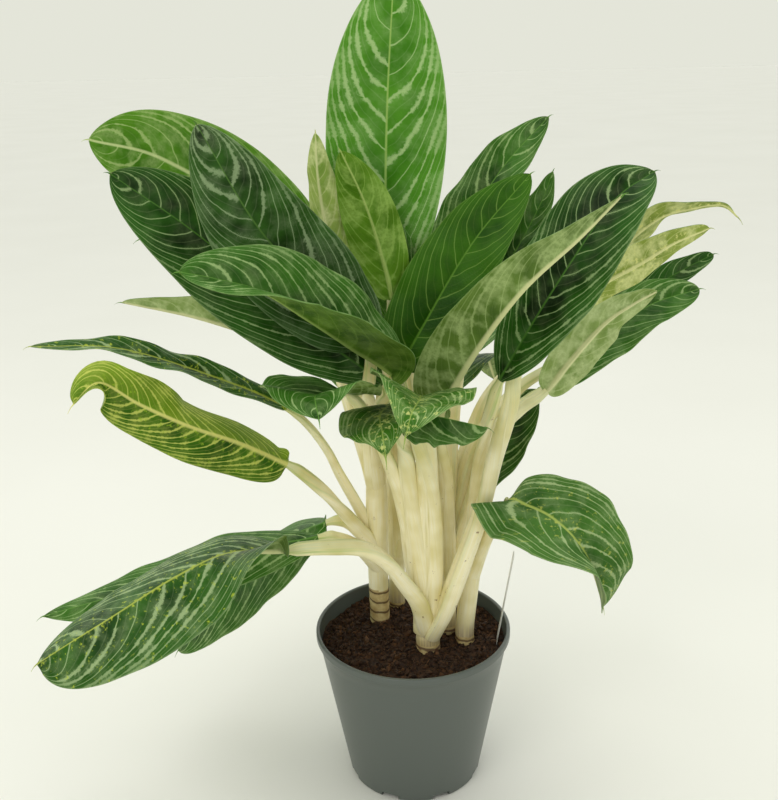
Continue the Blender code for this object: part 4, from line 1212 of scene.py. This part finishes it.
         ((-68, 164, 448), (-92, 210, 486), (-116, 262, 476), (-128, 306, 430)),
         40, ((-0.2, 0.3, 0.9), (-0.3, 0.7, 0.6))),
    Leaf("leaf_rear_low_right", "shoot_rear",
         ((-17, 78, 245), (4, 110, 320), (30, 140, 400)),
         ((50, 164, 446), (82, 208, 480), (108, 258, 466), (124, 300, 420)),
         40, ((0.2, 0.3, 0.9), (0.3, 0.7, 0.6)), top=Tint.FLECKED),
)


@dataclass(frozen=True)
class NurseryPot:
    """The pot: one moulded shell with a rolled rim, a tapered wall and drain slots."""

    node: str = "nursery_pot"
    height: float = 200.0
    rim_radius: float = 120.0
    base_radius: float = 82.5
    wall: float = 1.8
    floor: float = 2.4
    lip_height: float = 9.0
    lip_overhang: float = 3.0
    lip_round: float = 2.2
    foot_round: float = 3.0
    corners: int = 144
    drain_slots: int = 8
    drain_size: Point = (16.0, 22.0, 9.0)
    drain_height: float = 2.5

    def outer_radius(self, height: float) -> float:
        """Return the radius of the tapered outside at a height."""
        under_lip = self.rim_radius - self.lip_overhang
        share = height / (self.height - self.lip_height)
        return self.base_radius + (under_lip - self.base_radius) * share

    def bend(self, centre: Pair, radius: float, start: float, stop: float,
             steps: int = 5) -> list[Pair]:
        """Return points round a bend of the section, between two angles in degrees."""
        angles = [math.radians(start + (stop - start) * step / steps)
                  for step in range(steps + 1)]
        return [(centre[0] + radius * math.cos(angle), centre[1] + radius * math.sin(angle))
                for angle in angles]

    def section(self) -> list[Pair]:
        """Return the section from the floor's middle over the rim to the underside."""
        lip_base = self.height - self.lip_height
        inside = self.rim_radius - self.lip_overhang - self.wall
        roll = self.lip_round
        low = self.outer_radius(self.foot_round)
        inner = [(1.0, self.floor), (self.base_radius * 0.5, self.floor)]
        inner += self.bend((low - self.wall - 3.0, self.floor + 3.0), 3.0, -90.0, 0.0)
        steps = 12
        for step in range(1, steps):
            rise = 8.0 + (lip_base - 12.0) * step / steps
            inner.append((self.outer_radius(rise) - self.wall, rise))
        inner.append((self.outer_radius(lip_base) - self.wall, lip_base))
        over = self.bend((inside + roll, self.height - roll), roll, 180.0, 90.0)
        over += self.bend((self.rim_radius - roll, self.height - roll), roll, 90.0, 0.0)
        over += self.bend((self.rim_radius - 1.0, lip_base + 1.0), 1.0, 0.0, -90.0)
        outer = [(self.outer_radius(lip_base) + 0.6, lip_base),
                 (self.outer_radius(lip_base - 0.8), lip_base - 0.8)]
        for step in range(1, steps):
            rise = (lip_base - 0.8) * (1 - step / steps)
            if rise > self.foot_round + 1.0:
                outer.append((self.outer_radius(rise), rise))
        foot = self.bend((low - self.foot_round, self.foot_round), self.foot_round, 0.0, -90.0)
        return inner + over + outer + foot + [(self.base_radius * 0.5, 0.0), (1.0, 0.0)]

    def cutter(self) -> bpy.types.Object:
        """Make the blocks that cut the drain slots through the foot."""
        points, faces = [], []
        reach = self.base_radius - self.drain_size[0] / 4
        box = [(0, 1, 3, 2), (4, 6, 7, 5), (0, 4, 5, 1), (2, 3, 7, 6), (0, 2, 6, 4),
               (1, 5, 7, 3)]
        for number in range(self.drain_slots):
            turn = Matrix.Rotation(2 * math.pi * (number + 0.5) / self.drain_slots, 3, "Z")
            start = len(points)
            for signs in product((-0.5, 0.5), repeat=3):
                offset = Vector(sign * size for sign, size in zip(signs, self.drain_size))
                points.append(turn @ (offset + Vector((reach, 0.0, self.drain_height))))
            faces += [tuple(start + spot for spot in face) for face in box]
        mesh = bpy.data.meshes.new("drain_cutter")
        mesh.from_pydata([tuple(point * MM) for point in points], [], faces)
        return placed("drain_cutter", mesh)

    def build(self, finish: bpy.types.Material) -> bpy.types.Object:
        """Make the pot a piece, with its drain slots cut."""
        shell = turned(self.section(), self.corners)
        made = shell.piece(self.node + "_shell", Slot.POT, [finish], self.node)
        tool = self.cutter()
        cut = made.modifiers.new("drain", "BOOLEAN")
        cut.operation, cut.object, cut.solver = "DIFFERENCE", tool, "EXACT"
        graph = bpy.context.evaluated_depsgraph_get()
        mesh = bpy.data.meshes.new_from_object(made.evaluated_get(graph))
        made.modifiers.clear()
        made.data = mesh
        mesh.set_sharp_from_angle(angle=CREASE)
        bpy.data.objects.remove(tool, do_unlink=True)
        return made


def turned(section: list[Pair], corners: int) -> Shape:
    """Turn a section about the upright axis.

    Args:
        section: Points as (radius, height) in millimetres, from one end of the axis round
            to the other.
        corners: How many corners each ring has.

    Returns:
        The solid, with its distances round and up as the value "flat".
    """
    angle = -np.linspace(0.0, 2 * np.pi, corners, endpoint=False)[None]
    radius, height = (np.array(column)[:, None] for column in zip(*section))
    rings = np.stack(np.broadcast_arrays(np.cos(angle) * radius, np.sin(angle) * radius,
                                         height), axis=-1)
    return Shape.lofted(rings, {"flat": laid_flat(np.abs(angle + np.pi) * radius, height, 0.0)})


@lru_cache
def twenty_faces() -> tuple[np.ndarray, list[tuple[int, ...]]]:
    """Return the corners and faces of a regular solid with twenty faces."""
    golden = (1 + 5 ** 0.5) / 2
    corners = np.array([(0, s, t * golden) for s in (-1, 1) for t in (-1, 1)], float)
    corners = unit(np.concatenate([np.roll(corners, turn, 1) for turn in range(3)]))
    near = np.linalg.norm(corners[:, None] - corners[None], axis=-1) < 1.1
    faces = []
    for a, b, c in combinations(range(len(corners)), 3):
        if near[a, b] and near[b, c] and near[a, c]:
            outward = np.dot(np.cross(corners[b] - corners[a], corners[c] - corners[a]),
                             corners[a]) > 0
            faces.append((a, b, c) if outward else (a, c, b))
    return corners, faces


@dataclass(frozen=True)
class PeatFill:
    """The potting mix: a lumpy crowned bed with loose crumbs, bark bits and fibres on it.

    Every chip_step-th of the fibres is a bark chip. chip and fibre are their stretches along
    their own axes, and crumb_sizes the least and greatest radius of a crumb.
    """

    node: str = "potting_mix"
    top: float = 182.0
    crown: float = 4.0
    crown_radius: float = 110.0
    bottom: float = 120.0
    side_gap: float = 2.3
    corners: int = 150
    rings: int = 56
    lump_mm: float = 11.0
    lump_rise: float = 2.6
    swell_mm: float = 45.0
    swell_rise: float = 3.0
    crumbs: int = 3400
    crumb_sizes: Pair = (1.0, 5.2)
    fibres: int = 60
    chip_step: int = 3
    chip: Point = (0.8, 0.6, 0.4)
    fibre: Point = (1.0, 0.08, 0.07)

    def height(self, x: float, y: float) -> float:
        """Return the height of the bed's surface at a place."""
        reach = min(1.0, math.hypot(x, y) / self.crown_radius)
        point = Vector((x, y, SEED)) / self.lump_mm
        lumps = noise.noise(point) + 0.5 * noise.noise(point * 2.3) + 0.3 * noise.noise(point * 5)
        slow = noise.noise(Vector((x, y, SEED * 3.0)) / self.swell_mm) * self.swell_rise
        return self.top + self.crown * (1 - reach ** 2) + self.lump_rise * lumps + slow - 1.0

    def bed(self, pot: NurseryPot) -> Shape:
        """Build the bed down to where the wall hides it."""
        angle = -np.linspace(0.0, 2 * np.pi, self.corners, endpoint=False)
        inside, below = (pot.outer_radius(height) - self.side_gap
                         for height in (self.top, self.bottom))
        reach = [inside * (0.01 + 0.99 * step / self.rings) for step in range(self.rings + 1)]
        rings = np.array([[(radius * math.cos(turn), radius * math.sin(turn), self.bottom)
                           for turn in angle] for radius in reach + [below, 1.0]])
        for row in rings[:-2]:
            row[:, 2] = [self.height(x, y) for x, y in row[:, :2].tolist()]
        return Shape.lofted(rings, {"flat": rings})

    def crumb(self, place: Point, size: float, stretch: Point, spin: np.ndarray) -> Shape:
        """Build one crumb: a lump with uneven corners.

        Args:
            place: Its middle.
            size: Its rough radius.
            stretch: How long it is along its own axes.
            spin: Six random numbers from 0 to 1 for its attitude and form.

        Returns:
            The crumb.
        """
        corners, faces = twenty_faces()
        uneven = 1.0 + 0.32 * np.sin(corners @ (spin[:3] * 19.0) + spin[3] * 6.0)
        turn = np.array(Matrix.Rotation(spin[4] * 6.3, 3, Vector(spin[:3] - 0.5)))
        points = (corners * uneven[:, None] * size * np.array(stretch)) @ turn.T
        whole = points + np.array(place)
        return Shape(whole, faces, [0] * len(faces), {"flat": whole + spin[5] * 400.0})

    def loose(self, pot: NurseryPot) -> list[Shape]:
        """Scatter the crumbs, then the fibres and bark chips, over the bed."""
        chance = np.random.default_rng(SEED)
        radius = pot.outer_radius(self.top) - self.side_gap - 3.5
        least, most = self.crumb_sizes
        shapes = []
        for number in range(self.crumbs + self.fibres):
            reach = radius * math.sqrt(chance.random())
            turn = chance.random() * 2 * math.pi
            x, y = reach * math.cos(turn), reach * math.sin(turn)
            size = least + (most - least) * chance.random() ** 3
            stretch = (1.0, 0.55 + 0.45 * chance.random(), 0.5 + 0.4 * chance.random())
            if number >= self.crumbs:
                size = 4.0 + 4.0 * chance.random()
                stretch = self.fibre if number % self.chip_step else self.chip
            place = (x, y, self.height(x, y) + min(size, 2.0) * 0.35)
            shapes.append(self.crumb(place, size, stretch, chance.random(6)))
        return shapes

    def build(self, pot: NurseryPot, finishes: list[bpy.types.Material]) -> list[bpy.types.Object]:
        """Make the bed, its crumbs, and its fibres and chips pieces.

        Args:
            pot: The pot that holds the mix.
            finishes: The peat's material and the fibres'.

        Returns:
            The pieces.
        """
        loose = self.loose(pot)
        bed = self.bed(pot).piece("peat_bed", Slot.SOIL, finishes[:1], self.node)
        crumbs = Shape.joined(loose[:self.crumbs])
        fibres = Shape.joined(loose[self.crumbs:])
        return [bed, crumbs.piece("peat_crumbs", Slot.SOIL, finishes[:1], self.node),
                fibres.piece("bark_fibres", Slot.SOIL, finishes[1:], self.node)]


@dataclass(frozen=True)
class SoftLight:
    """A soft square light: where it hangs and what it faces in metres, its side and watts."""

    name: str
    place: Point
    aim: Point
    side: float
    watts: float
    colour: str

    def hang(self) -> None:
        """Hang the light."""
        lamp = bpy.data.lights.new(self.name, "AREA")
        lamp.energy, lamp.size, lamp.color = self.watts, self.side, linear(self.colour)[:3]
        made = placed(self.name, lamp)
        made.location = self.place
        way = Vector(self.aim) - Vector(self.place)
        made.rotation_euler = way.to_track_quat("-Z", "Y").to_euler()


@dataclass(frozen=True)
class Studio:
    """The floor, the light and the camera, whose axes are right, up and ahead.

    The surround is dim on the camera's side and sky behind the plant, over a pale horizon.
    """

    floor_size: float = 60.0
    lens: float = 46.35
    sensor: float = 36.0
    eye: Point = (0.0, -1.117, 0.884)
    right: Point = (0.9996796, 0.01347756, -0.02142538)
    up: Point = (0.01579687, 0.32918502, 0.9441333)
    ahead: Point = (-0.01977753, 0.94416925, -0.32886665)
    sky: str = "#F7F8F2"
    dim: str = "#8E8F8A"
    horizon: str = "#CBCCC1"
    sky_strength: float = 1.3
    lights: tuple[SoftLight, ...] = (
        SoftLight("key_light", (-1.3, -2.2, 2.4), (0.0, 0.0, 0.5), 1.6, 26.0, "#FFFDF8"),
        SoftLight("front_light", (0.9, -2.6, 1.4), (0.0, 0.0, 0.5), 1.4, 9.0, "#FDFDFF"),
        SoftLight("top_light", (0.2, 0.4, 3.0), (0.0, 0.0, 0.3), 2.0, 12.0, "#FFFFFF"))

    def floor(self) -> None:
        """Lay the pale floor."""
        half = self.floor_size / 2
        mesh = bpy.data.meshes.new("studio_floor")
        mesh.from_pydata([(-half, -half, 0), (half, -half, 0), (half, half, 0), (-half, half, 0)],
                         [], [(0, 1, 2, 3)])
        mesh.materials.append(PaintedFloor().material())
        placed("studio_floor", mesh)

    def surround(self) -> None:
        """Light the plant from all round, most from above and behind it."""
        world = bpy.data.worlds.new("studio_surround")
        bpy.context.scene.world = world
        world.use_nodes = True
        node = partial(add_node, world.node_tree)
        way = node("TexCoord", output="Generated")
        split = node("SeparateXYZ", (way,)).node.outputs
        share, rise = (node("MapRange", (split[axis], low, high),
                            interpolation_type="SMOOTHSTEP")
                       for axis, low, high in (("Y", -0.75, 0.1), ("Z", 0.08, 0.3)))
        above = node("Mix", {0: share, 6: self.dim, 7: self.sky}, 2, data_type="RGBA")
        colour = node("Mix", {0: rise, 6: self.horizon, 7: above}, 2, data_type="RGBA")
        surround = world.node_tree.nodes["Background"]
        surround.inputs["Strength"].default_value = self.sky_strength
        world.node_tree.links.new(colour, surround.inputs["Color"])

    def camera(self) -> None:
        """Set up the camera where the photograph was taken from."""
        lens = bpy.data.cameras.new("studio_camera")
        lens.lens, lens.sensor_width = self.lens, self.sensor
        lens.clip_start, lens.clip_end = 0.05, 200.0
        made = placed("studio_camera", lens)
        turn = Matrix((self.right, self.up, tuple(-value for value in self.ahead))).transposed()
        made.matrix_world = Matrix.Translation(self.eye) @ turn.to_4x4()
        bpy.context.scene.camera = made

    def build(self) -> None:
        """Set up the studio."""
        self.floor()
        self.surround()
        for light in self.lights:
            light.hang()
        self.camera()
        bpy.context.scene.view_settings.view_transform = "Standard"


def dress_label(finish: bpy.types.Material) -> None:
    """Give the bare label strip, whose CAD shape is right, its plastic."""
    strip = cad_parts["plant_label"]
    for place in strip.material_slots:
        place.material = finish
    LOG.info("plant_label: %d faces, dressed", len(strip.data.polygons))


def main() -> None:
    """Build and dress every part of the plant, then the studio."""
    logging.basicConfig(level=logging.INFO, format="%(name)s: %(message)s")
    skins = {tint: tint.value.material() for tint in Tint}
    stalk_skin = SappyStalkSkin().material()
    bark = RingedCaneBark().material()
    pot = NurseryPot()
    pot.build(MouldedPolypropylene().material())
    peat = DampPeat().material()
    fibre = DampPeat("bark_fibre", 0.8, 1.45, 0.3, dark="#38210F", brown="#5E4126",
                     rust="#85592F").material()
    PeatFill().build(pot, [peat, fibre])
    dress_label(RolledPolystyreneStrip().material())
    for shoot in SHOOTS:
        shoot.build(stalk_skin, bark)
    for leaf in LEAVES:
        Blade(leaf).build(skins)
    Studio().build()


if __name__ == "__main__":
    main()
